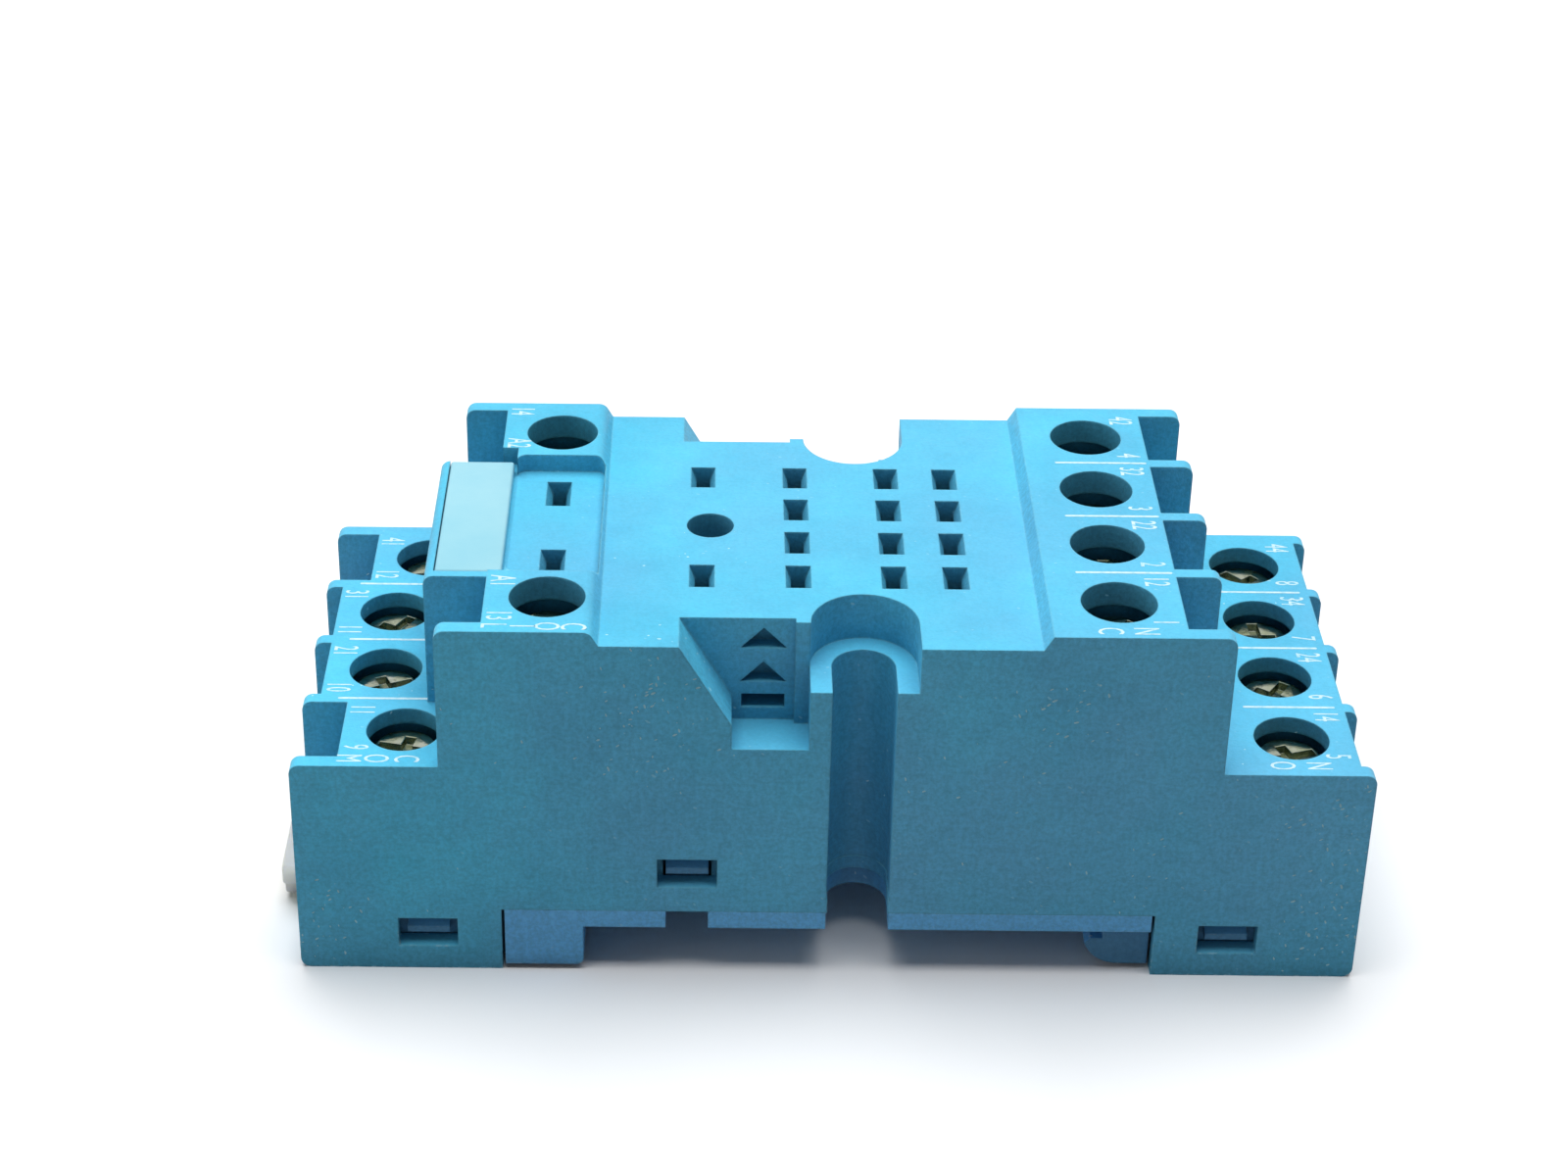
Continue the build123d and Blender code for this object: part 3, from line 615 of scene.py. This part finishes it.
def make_blotch():
    """Cloudy variation of a moulded or plated colour, from 0 to 1."""
    tree, given, out = new_group("blotch", ("Scale",), {"Value": FLOAT})
    value = noise(tree, object_place(tree), given["Scale"], *BLOTCH_NOISE)
    tree.links.new(remap(tree, value, *BLOTCH_RANGE), out["Value"])
    return tree


def make_recess_dust():
    """Mask of painted shade in recesses and inner corners, thicker where less open sky reaches."""
    tree, given, out = new_group("recess_shade", ("Reach", "Amount", "Start"), {"Mask": FLOAT})
    shelter = {"Distance": given["Reach"]}
    open_sky = add_node(tree, "ShaderNodeAmbientOcclusion", shelter, samples=SHELTER_SAMPLES)
    deep = remap(tree, open_sky.outputs["AO"], given["Start"], SHELTER_DEEPEST)
    tree.links.new(sum_of(tree, "MULTIPLY", deep, given["Amount"], clamp=True), out["Mask"])
    return tree


worn_highlit_edge = make_worn_edge()
moulded_grain = make_moulded_grain()
nicks = make_nicks()
blotch = make_blotch()
recess_shade = make_recess_dust()


# Materials


def new_material(name, **settings):
    """A material with a plain shader, its sockets set by name."""
    material = bpy.data.materials.new(name)
    material.use_nodes = True
    shader = material.node_tree.nodes["Principled BSDF"]
    for key, value in settings.items():
        shader.inputs[key.replace("_", " ").title().replace("Ior", "IOR")].default_value = value
    return material, material.node_tree, shader


def bumped(tree, shader, height, depth, normal=None, lift=None):
    """Leads a height through a bump into the shader's normal, turned upwards where it is lifted."""
    inputs = {"Height": height, "Strength": 1.0, "Distance": depth}
    if normal is not None:
        inputs["Normal"] = normal
    made = add_node(tree, "ShaderNodeBump", inputs).outputs["Normal"]
    if lift is not None:
        upright = vector_sum(tree, "SCALE", {0: (0, 0, 1), "Scale": lift})
        both = vector_sum(tree, "ADD", {0: made, 1: upright})
        made = vector_sum(tree, "NORMALIZE", {0: both})
    tree.links.new(made, shader.inputs["Normal"])


def scuffed(tree, place):
    """How knocked each place is, from 0 to 1."""
    worst = 0.0
    for centre, reach in SCUFFS:
        gap = add_node(tree, "ShaderNodeVectorMath", {0: place, 1: centre}, operation="DISTANCE")
        near = remap(tree, gap.outputs["Value"], reach, SCUFF_CORE * reach)
        worst = sum_of(tree, "MAXIMUM", worst, near)
    return worst


def nicked_places(tree, place):
    """Mask of scratches that lie two ways, thick in the knocked places and thin in patches elsewhere."""
    patchy = noise(tree, place, NICK_PATCH_SCALE, NICK_PATCH_DETAIL)
    patch = remap(tree, patchy, *NICK_PATCH_RANGE, *NICK_PATCH_SHARES)
    share = sum_of(tree, "ADD", patch, sum_of(tree, "MULTIPLY", scuffed(tree, place), SCUFF_SHARE))
    layers = []
    for turn in NICK_TURNS:
        layer = use_group(tree, nicks, scale=NICK_SCALE, size=NICK_SIZE, turn=turn, share=share)
        layers.append(layer["Mask"])
    return sum_of(tree, "MAXIMUM", *layers)


def film_places(tree, look, place, facing, upward):
    """Mask of painted shade: thick in recesses, thin on their floors, even on lug faces set back."""
    amount = look["shelter_amount"]
    left = remap(tree, upward, 0.0, 1.0, amount, PAINTED_SHADE_ON_TOPS * amount)
    reach = look["shelter_reach"]
    start = look["shelter_start"]
    film = use_group(tree, recess_shade, reach=reach, start=start, amount=left)["Mask"]
    # Faces turned sideways within this distance of the middle, the set-back lug faces, get painted shade
    across = sum_of(tree, "ABSOLUTE", axis_of(tree, place, "Y"), 0.0)
    within = sum_of(tree, "LESS_THAN", across, look["lug_faces_within"])
    sideways = sum_of(tree, "ABSOLUTE", axis_of(tree, facing, "Y"), 0.0)
    set_back = sum_of(tree, "MULTIPLY", within, sideways)
    return sum_of(tree, "MAXIMUM", film, sum_of(tree, "MULTIPLY", set_back, PAINTED_SHADE_ON_LUGS))


def moulded_plastic(name, look):
    """Matt moulded plastic: fibrous grain, cloudy colour, painted shade in recesses, pale rubbed edges that
    are partly painted edge highlight, and nicks.
    """
    material, tree, shader = new_material(name, specular_ior_level=PLASTIC_GLOSS)
    place = object_place(tree)
    facing = add_node(tree, "ShaderNodeNewGeometry").outputs["Normal"]
    upward = remap(tree, axis_of(tree, facing, "Z"), *TOP_SLOPES)
    worn_highlit = use_group(tree, worn_highlit_edge, radius=look["edge"], amount=look["wear_and_highlight"])
    cloud = use_group(tree, blotch, scale=CLOUD_SCALE)["Value"]
    broad = use_group(tree, blotch, scale=BROAD_SCALE)["Value"]
    sheen = use_group(tree, blotch, scale=SHEEN_SCALE)["Value"]
    surface = use_group(tree, moulded_grain, scale=look["grain"], fibre=GRAIN_FIBRE)
    # The film mask is painted shade: darkening laid in recesses and on set-back lug faces
    film = film_places(tree, look, place, facing, upward)
    sprinkled = remap(tree, broad, *FLECK_RANGE, *FLECK_SHARES)
    fleck = use_group(tree, nicks, scale=FLECK_SCALE, size=FLECK_SIZE, turn=FLECK_TURN, share=sprinkled)
    flecks = fleck["Mask"]
    nicked = nicked_places(tree, place)
    low_down = remap(tree, axis_of(tree, place, "Z"), *CHIP_HEIGHTS, *CHIP_SHARES)
    chipped = sum_of(tree, "MULTIPLY", worn_highlit["Chips"], low_down)

    shade = remap(tree, surface["Tone"], *GRAIN_TONES, *GRAIN_SHADES)
    shade = mix_colour(tree, sum_of(tree, "MULTIPLY", upward, GRAIN_LOST_ON_TOPS), shade, (1, 1, 1, 1))
    tint = mix_colour(tree, sum_of(tree, "MULTIPLY", cloud, CLOUD_SHARE), look["plain"], look["deep"])
    tint = mix_colour(tree, sum_of(tree, "MULTIPLY", broad, BROAD_SHARE), tint, look["drift"])
    tint = mix_colour(tree, 1.0, tint, shade, "MULTIPLY")
    # Painted shade: the darkest colour laid over recesses and set-back lug faces
    tint = mix_colour(tree, film, tint, look["painted_shade"])
    # Pale edges: partly rubbed wear, partly painted edge highlight, laid on outer and inner edges alike
    tint = mix_colour(tree, worn_highlit["Mask"], tint, look["rubbed_and_highlit"])
    tint = mix_colour(tree, sum_of(tree, "MULTIPLY", flecks, FLECK_TINT), tint, look["bare"])
    tint = mix_colour(tree, sum_of(tree, "MULTIPLY", nicked, NICK_TINT), tint, look["bare"])
    tint = mix_colour(tree, chipped, tint, look["bare"])
    tree.links.new(tint, shader.inputs["Base Color"])

    roughness = look["roughness"]
    rough = remap(tree, sheen, 0.0, 1.0, roughness - SHEEN_BELOW, roughness + SHEEN_ABOVE)
    tree.links.new(rough, shader.inputs["Roughness"])
    raised = sum_of(tree, "MAXIMUM", sum_of(tree, "MULTIPLY", flecks, FLECK_LIFT), nicked)
    raised = sum_of(tree, "MAXIMUM", raised, chipped)
    bumped(tree, shader, surface["Height"], GRAIN_DEPTH, worn_highlit["Normal"], raised)
    return material


def plated_metal(name, plating):
    """Plating with a tinted passivation that lies in patches."""
    material, tree, shader = new_material(name, metallic=1.0)
    worn_highlit = use_group(tree, worn_highlit_edge, radius=PLATE_EDGE, amount=PLATE_WEAR)
    patch = use_group(tree, blotch, scale=PLATE_PATCH_SCALE)["Value"]
    dark = use_group(tree, blotch, scale=PLATE_TARNISH_SCALE)["Value"]
    dulled = remap(tree, dark, *PLATE_TARNISH_RANGE, *PLATE_TARNISH_SHARES)
    tint = mix_colour(tree, patch, plating["bright"], plating["stain"])
    tint = mix_colour(tree, dulled, tint, plating["tarnish"])
    tint = mix_colour(tree, worn_highlit["Mask"], tint, PLATE_RUBBED)
    tree.links.new(tint, shader.inputs["Base Color"])
    roughness = plating["roughness"]
    rough = remap(tree, patch, 0.0, 1.0, roughness, roughness + PLATE_PATCH_ROUGHER)
    tree.links.new(rough, shader.inputs["Roughness"])
    height = noise(tree, object_place(tree), PLATE_GRAIN_SCALE, *PLATE_GRAIN_NOISE)
    bumped(tree, shader, height, PLATE_GRAIN_DEPTH, worn_highlit["Normal"])
    return material


def milky_nylon(name):
    """Milky unpigmented nylon, a little yellowed."""
    material, tree, shader = new_material(
        name,
        subsurface_weight=NYLON_SCATTER,
        subsurface_scale=NYLON_SCATTER_REACH,
        subsurface_radius=NYLON_SCATTER_COLOURS,
    )
    cloud = use_group(tree, blotch, scale=NYLON_CLOUD_SCALE)["Value"]
    tint = mix_colour(tree, cloud, NYLON_MILKY, NYLON_YELLOWED)
    tree.links.new(tint, shader.inputs["Base Color"])
    tree.links.new(remap(tree, cloud, 0.0, 1.0, *NYLON_ROUGHNESS), shader.inputs["Roughness"])
    height = use_group(tree, moulded_grain, scale=NYLON_GRAIN, fibre=NYLON_FIBRE)["Height"]
    bumped(tree, shader, height, NYLON_GRAIN_DEPTH)
    return material


def label_stock(name):
    """Pale satin label stock with faint handling marks."""
    material, tree, shader = new_material(name, specular_ior_level=LABEL_GLOSS)
    worn_highlit = use_group(tree, worn_highlit_edge, radius=LABEL_EDGE, amount=LABEL_WEAR)
    cloud = use_group(tree, blotch, scale=LABEL_CLOUD_SCALE)["Value"]
    marked = use_group(tree, nicks, scale=LABEL_MARK_SCALE, size=LABEL_MARK_SIZE, share=LABEL_MARK_SHARE)
    tint = mix_colour(tree, cloud, LABEL_PALE, LABEL_DULL)
    tint = mix_colour(tree, worn_highlit["Mask"], tint, LABEL_RUBBED)
    tint = mix_colour(tree, marked["Mask"], tint, LABEL_MARKED)
    tree.links.new(tint, shader.inputs["Base Color"])
    tree.links.new(remap(tree, cloud, 0.0, 1.0, *LABEL_ROUGHNESS), shader.inputs["Roughness"])
    height = use_group(tree, moulded_grain, scale=LABEL_GRAIN, fibre=LABEL_FIBRE)["Height"]
    bumped(tree, shader, height, LABEL_GRAIN_DEPTH, worn_highlit["Normal"])
    return material


def white_ink(name):
    """Pad-printed white ink, thin in places."""
    material, tree, shader = new_material(name, roughness=INK_ROUGHNESS, specular_ior_level=INK_GLOSS)
    place = object_place(tree)
    thin = remap(tree, noise(tree, place, INK_THIN_SCALE), *INK_THIN_RANGE)
    tree.links.new(mix_colour(tree, thin, INK_FULL, INK_THIN), shader.inputs["Base Color"])
    bumped(tree, shader, noise(tree, place, INK_GRAIN_SCALE, INK_GRAIN_DETAIL), INK_GRAIN_DEPTH)
    return material


housing_blue = moulded_plastic("housing_blue", HOUSING_LOOK)
base_blue = moulded_plastic("base_blue", BASE_LOOK)
clip_white = milky_nylon("clip_white")
label_pale = label_stock("label_pale")
screw_metal = plated_metal("screw_metal", SCREW_PLATING)
clamp_metal = plated_metal("clamp_metal", CLAMP_PLATING)
contact_metal = plated_metal("contact_metal", CONTACT_BRASS)
print_ink = white_ink("print_ink")


# Solids that keep their own shape and take a finish

for node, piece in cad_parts.items():
    finish = {"housing": housing_blue, "base_plate": base_blue}.get(node)
    if node.startswith("contact_"):
        finish = contact_metal
    if finish is not None:
        piece.data.materials.clear()
        piece.data.materials.append(finish)


# Terminal screws


def make_screw(shank_bottom):
    """A screw whose head top is at the origin: rounded cheese head, slot and cross, threaded shank."""
    seat = -HEAD_HEIGHT
    head = add_cylinder("screw_master", HEAD_RADIUS, seat, 0, HEAD_SIDES)
    bevel_edges(head, lambda a, b: min(a.z, b.z) > -MERGE, HEAD_ROUND, HEAD_ROUND_STEPS)
    bevel_edges(head, lambda a, b: max(a.z, b.z) < seat + MERGE, HEAD_UNDER_ROUND, SMALL_ROUND_STEPS)
    for length, width in (DRIVE_SLOT, reversed(DRIVE_CROSS)):
        tool = add_box(
            "drive", (-length / 2, -width / 2, -DRIVE_DEPTH), (length / 2, width / 2, HEAD_HEIGHT)
        )
        cut_away(head, tool)
    round_edges(head, DRIVE_ROUND, SMALL_ROUND_STEPS, DRIVE_SHARP)
    core = add_cylinder("core", SHANK_ROOT, shank_bottom, seat + SINK, SHANK_SIDES)
    point_end = shank_bottom + MERGE
    bevel_edges(core, lambda a, b: max(a.z, b.z) < point_end, SHANK_POINT, SMALL_ROUND_STEPS)
    thread = make_thread(shank_bottom + SHANK_POINT, seat - THREAD_RELIEF)
    screw = join("screw_master", [head, core, thread])
    smooth(screw, METAL_SMOOTH)
    return screw


def make_thread(low, high):
    """A helical ridge with a triangular section, its foot sunk a little into the shank."""
    depth = SHANK_CREST - SHANK_ROOT + SINK
    reach = depth / TRIANGLE_DEPTH
    bpy.ops.object.select_all(action="DESELECT")
    bpy.ops.mesh.primitive_circle_add(
        vertices=THREAD_SIDES,
        radius=reach,
        fill_type="NOTHING",
        location=(SHANK_CREST - reach, 0, low + THREAD_PITCH / 2),
        rotation=(math.pi / 2, math.pi / 2, 0),
    )
    ridge = new_piece("thread")
    modifier = ridge.modifiers.new("turns", "SCREW")
    modifier.axis = "Z"
    modifier.screw_offset = THREAD_PITCH
    modifier.iterations = int((high - low) / THREAD_PITCH) - 1
    modifier.steps = THREAD_STEPS
    modifier.render_steps = THREAD_STEPS
    bpy.ops.object.modifier_apply(modifier=modifier.name)
    bpy.ops.object.mode_set(mode="EDIT")
    bpy.ops.mesh.select_all(action="SELECT")
    bpy.ops.mesh.fill_holes(sides=THREAD_SIDES)
    bpy.ops.mesh.select_all(action="SELECT")
    bpy.ops.mesh.normals_make_consistent(inside=False)
    bpy.ops.object.mode_set(mode="OBJECT")
    return ridge


first_low, first_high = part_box("screw_1")
screw_master = make_screw(first_low.z - first_high.z)
for number in TERMINALS:
    low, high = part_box(f"screw_{number}")
    centre = (low + high) / 2
    turn = math.radians(DRIVE_FIRST_TURN + DRIVE_TURN * number)
    place = Matrix.Translation((centre.x, centre.y, high.z)) @ Matrix.Rotation(turn, 4, "Z")
    screw = placed_copy(screw_master, f"terminal_screw_{number}", place)
    finish_piece(screw, f"screw_{number}", "screw_zinc", screw_metal, f"screw_{number}")
bpy.data.objects.remove(screw_master)


# Rising clamps


def make_clamp(low, high):
    """A cage centred on the origin: folded corners, a tapped hole and gripping ridges on its floor."""
    half = (high - low) / 2
    cage = add_box("clamp_master", -half, half)
    bevel_edges(
        cage,
        lambda a, b: abs(a.y - b.y) < MERGE and abs(a.z - b.z) < MERGE,
        CAGE_ROUND,
        CAGE_ROUND_STEPS,
    )
    wire_low = -half.z + CAGE_FLOOR
    wire_high = half.z - CAGE_TOP
    wire_half = half.y - CAGE_SIDE
    through = 2 * half.x
    opening = add_box("opening", (-through, -wire_half, wire_low), (through, wire_half, wire_high))
    cut_away(cage, opening)
    hole = add_cylinder("hole", CAGE_HOLE, wire_high - SINK, half.z + SINK, SHANK_SIDES)
    cut_away(cage, hole)
    round_edges(cage, CAGE_EDGE, SMALL_ROUND_STEPS, CAGE_SHARP)
    ridges = [cage]
    for count in range(CAGE_RIDGES):
        x = (count - (CAGE_RIDGES - 1) / 2) * CAGE_RIDGE_PITCH
        bpy.ops.object.select_all(action="DESELECT")
        bpy.ops.mesh.primitive_cylinder_add(
            vertices=CAGE_RIDGE_SIDES,
            radius=CAGE_RIDGE_RADIUS,
            depth=2 * (wire_half - CAGE_EDGE),
            location=(x, 0, wire_low),
            rotation=(math.pi / 2, 0, 0),
        )
        ridge = new_piece("ridge")
        bevel_edges(ridge, lambda a, b: abs(a.y - b.y) < MERGE, CAGE_EDGE, SMALL_ROUND_STEPS)
        ridges.append(ridge)
    clamp = join("clamp_master", ridges)
    smooth(clamp, METAL_SMOOTH)
    return clamp


clamp_master = make_clamp(*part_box("clamp_1"))
for number in TERMINALS:
    low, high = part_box(f"clamp_{number}")
    clamp = placed_copy(clamp_master, f"terminal_clamp_{number}", Matrix.Translation((low + high) / 2))
    finish_piece(clamp, f"clamp_{number}", "clamp_zinc", clamp_metal, f"clamp_{number}")
bpy.data.objects.remove(clamp_master)


# Rail clip and label, with rounded edges

rail_slider = rounded_copy("rail_clip", "rail_slider", CLIP_ROUND)
finish_piece(rail_slider, "rail_clip", "clip_nylon", clip_white, "rail_clip")
label_plate = rounded_copy("id_label", "label_plate", LABEL_ROUND)
finish_piece(label_plate, "housing", "label_plastic", label_pale, "id_label")


# Print on the terminal blocks


def print_text(words, x, y, z):
    """A word as a thin film of ink, its letters' tops towards +X, centred on a place."""
    bpy.ops.object.select_all(action="DESELECT")
    bpy.ops.object.text_add()
    text = bpy.context.active_object
    text.data.body = words
    text.data.size = PRINT_HEIGHT / PRINT_CAP_SHARE
    text.data.extrude = PRINT_FILM / 2
    text.data.resolution_u = PRINT_CURVE_STEPS
    select_only(text)
    bpy.ops.object.convert(target="MESH")
    film = bpy.context.active_object
    points = [vertex.co for vertex in film.data.vertices]
    middle_x = (min(p.x for p in points) + max(p.x for p in points)) / 2
    middle_y = (min(p.y for p in points) + max(p.y for p in points)) / 2
    place = (
        Matrix.Translation((x, y, z))
        @ Matrix.Rotation(PRINT_TURN, 4, "Z")
        @ Matrix.Diagonal((PRINT_NARROW, 1, 1, 1))
        @ Matrix.Translation((-middle_x, -middle_y, 0))
    )
    film.data.transform(place)
    return film


def print_line(x_low, x_high, y, z):
    """A divider line of ink between two terminals."""
    half = LINE_WIDTH / 2
    film = PRINT_FILM / 2
    line = add_box("line", (x_low, y - half, z - film), (x_high, y + half, z + film))
    bevel_edges(line, lambda a, b: abs(a.z - b.z) > MERGE, LINE_ROUND, LINE_ROUND_STEPS)
    return line


def terminal_place(number):
    """Centre of a terminal's well and the height of its block."""
    low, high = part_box(f"screw_{number}")
    centre = (low + high) / 2
    depth = UPPER_HEAD_DEPTH if number in UPPER_TERMINALS else LOWER_HEAD_DEPTH
    return centre.x, centre.y, high.z + depth


def print_block(name, marks, letters, letter_drop, lines=(), line_from=0.0, line_to=0.0):
    """The numbers, letters and divider lines of one terminal block, as one film of ink."""
    films = []
    for number, words, dx, dy in marks:
        x, y, z = terminal_place(number)
        films.append(print_text(words, x + dx * MM, y + dy * MM, z))
    first_x, first_y, first_z = terminal_place(marks[0][0])
    for letter, dx in letters:
        films.append(print_text(letter, first_x + dx * MM, first_y - letter_drop * MM, first_z))
    x_low = first_x + line_from * MM
    x_high = first_x + line_to * MM
    for near, far in lines:
        _, near_y, z = terminal_place(near)
        _, far_y, _ = terminal_place(far)
        films.append(print_line(x_low, x_high, (near_y + far_y) / 2, z))
    ink = join(name, films)
    merge_doubles(ink)
    finish_piece(ink, "housing", "label_plastic", print_ink)


def paired_marks(terminals, far_words, offset, far_y, near_y, first_near_y):
    """Two marks beside each well: the contact's number on the far side, the terminal's on the near side."""
    marks = []
    for number, words in zip(terminals, far_words):
        own_y = first_near_y if number == terminals[0] else near_y
        marks.append((number, str(number), offset, own_y))
        marks.append((number, words, offset, far_y))
    return marks


# Places of the marks are millimetres from a well's middle
closed_marks = paired_marks(
    range(1, 5), ("12", "22", "32", "42"), RIGHT_OFFSET, far_y=2.5, near_y=-2.6, first_near_y=-2.4
)
print_block(
    "ink_closed",
    closed_marks,
    letters=[("N", 1.4), ("C", -0.9)],
    letter_drop=3.5,
    lines=[(1, 2), (2, 3), (3, 4)],
    line_from=-2.5,
    line_to=3.9,
)
open_marks = paired_marks(
    range(5, 9), ("14", "24", "34", "44"), RIGHT_OFFSET, far_y=2.5, near_y=-2.4, first_near_y=-2.1
)
print_block(
    "ink_open",
    open_marks,
    letters=[("N", 1.35), ("O", -1.05)],
    letter_drop=3.2,
    lines=[(5, 6), (6, 7), (7, 8)],
    line_from=-2.7,
    line_to=3.5,
)
common_marks = paired_marks(
    range(9, 13), ("11", "21", "31", "41"), LEFT_OFFSET, far_y=2.3, near_y=-2.45, first_near_y=-2.1
)
print_block(
    "ink_common",
    common_marks,
    letters=[("C", 0.5), ("O", -1.5), ("M", -3.3)],
    letter_drop=3.4,
    lines=[(9, 10), (10, 11), (11, 12)],
    line_from=-4.8,
    line_to=1.9,
)
coil_marks = [
    (13, "13", LEFT_OFFSET, -2.4),
    (13, "A1", LEFT_OFFSET, 2.05),
    (14, "14", LEFT_OFFSET, 3.0),
    (14, "A2", LEFT_OFFSET, -1.6),
]
print_block(
    "ink_coil",
    coil_marks,
    letters=[("C", 1.88), ("O", 0.18), ("I", -1.39), ("L", -3.24)],
    letter_drop=3.59,
)


# Floor, light and camera


def stage_colour(tree, shown, bounce):
    """One colour for rays that look at it, another for rays that only carry light."""
    path = add_node(tree, "ShaderNodeLightPath")
    look = sum_of(tree, "ADD", path.outputs["Is Camera Ray"], path.outputs["Is Glossy Ray"])
    look = sum_of(tree, "ADD", look, path.outputs["Is Transmission Ray"], clamp=True)
    return mix_colour(tree, look, bounce, shown)


def make_floor():
    """A plain pale floor under the feet."""
    bpy.ops.object.select_all(action="DESELECT")
    bpy.ops.mesh.primitive_plane_add(size=FLOOR_SIDE, location=(0, 0, cad_low.z))
    floor = new_piece("floor")
    material, tree, shader = new_material("floor_pale", roughness=1.0, specular_ior_level=0.0)
    tree.links.new(stage_colour(tree, FLOOR_SHOWN, FLOOR_BOUNCE), shader.inputs["Base Color"])
    floor.data.materials.append(material)


def make_world():
    """A white surround for the eye, and a weak grey one for the light."""
    world = bpy.data.worlds.new("studio")
    bpy.context.scene.world = world
    world.use_nodes = True
    tree = world.node_tree
    background = tree.nodes["Background"]
    tree.links.new(stage_colour(tree, SKY_SHOWN, SKY_LIGHT), background.inputs["Color"])


def make_softbox(name, side, place, power, aim):
    """A square soft light that faces a point."""
    lamp = bpy.data.lights.new(name, "AREA")
    lamp.shape = "SQUARE"
    lamp.size = side
    lamp.energy = power
    light = bpy.data.objects.new(name, lamp)
    light.location = place
    light.rotation_mode = "QUATERNION"
    light.rotation_quaternion = (aim - Vector(place)).to_track_quat("-Z", "Y")
    light.visible_glossy = False
    bpy.context.scene.collection.objects.link(light)


def make_camera():
    """The photograph's point of view."""
    lens = bpy.data.cameras.new("camera")
    lens.sensor_width = CAMERA_SENSOR
    lens.lens = CAMERA_LENS
    lens.shift_x, lens.shift_y = CAMERA_SHIFT
    lens.clip_start = CAMERA_NEAREST
    camera = bpy.data.objects.new("camera", lens)
    camera.location = CAMERA_PLACE
    camera.rotation_euler = [math.radians(angle) for angle in CAMERA_TURN]
    bpy.context.scene.collection.objects.link(camera)
    bpy.context.scene.camera = camera


make_floor()
make_world()
middle = (cad_low + cad_high) / 2
make_softbox("softbox_above", SOFTBOX_SIDE, SOFTBOX_PLACE, SOFTBOX_POWER, middle)
make_softbox("softbox_fill", FILL_SIDE, FILL_PLACE, FILL_POWER, middle)
make_softbox("softbox_end", END_SIDE, END_PLACE, END_POWER, middle)
make_camera()
bpy.context.scene.view_settings.view_transform = "Standard"
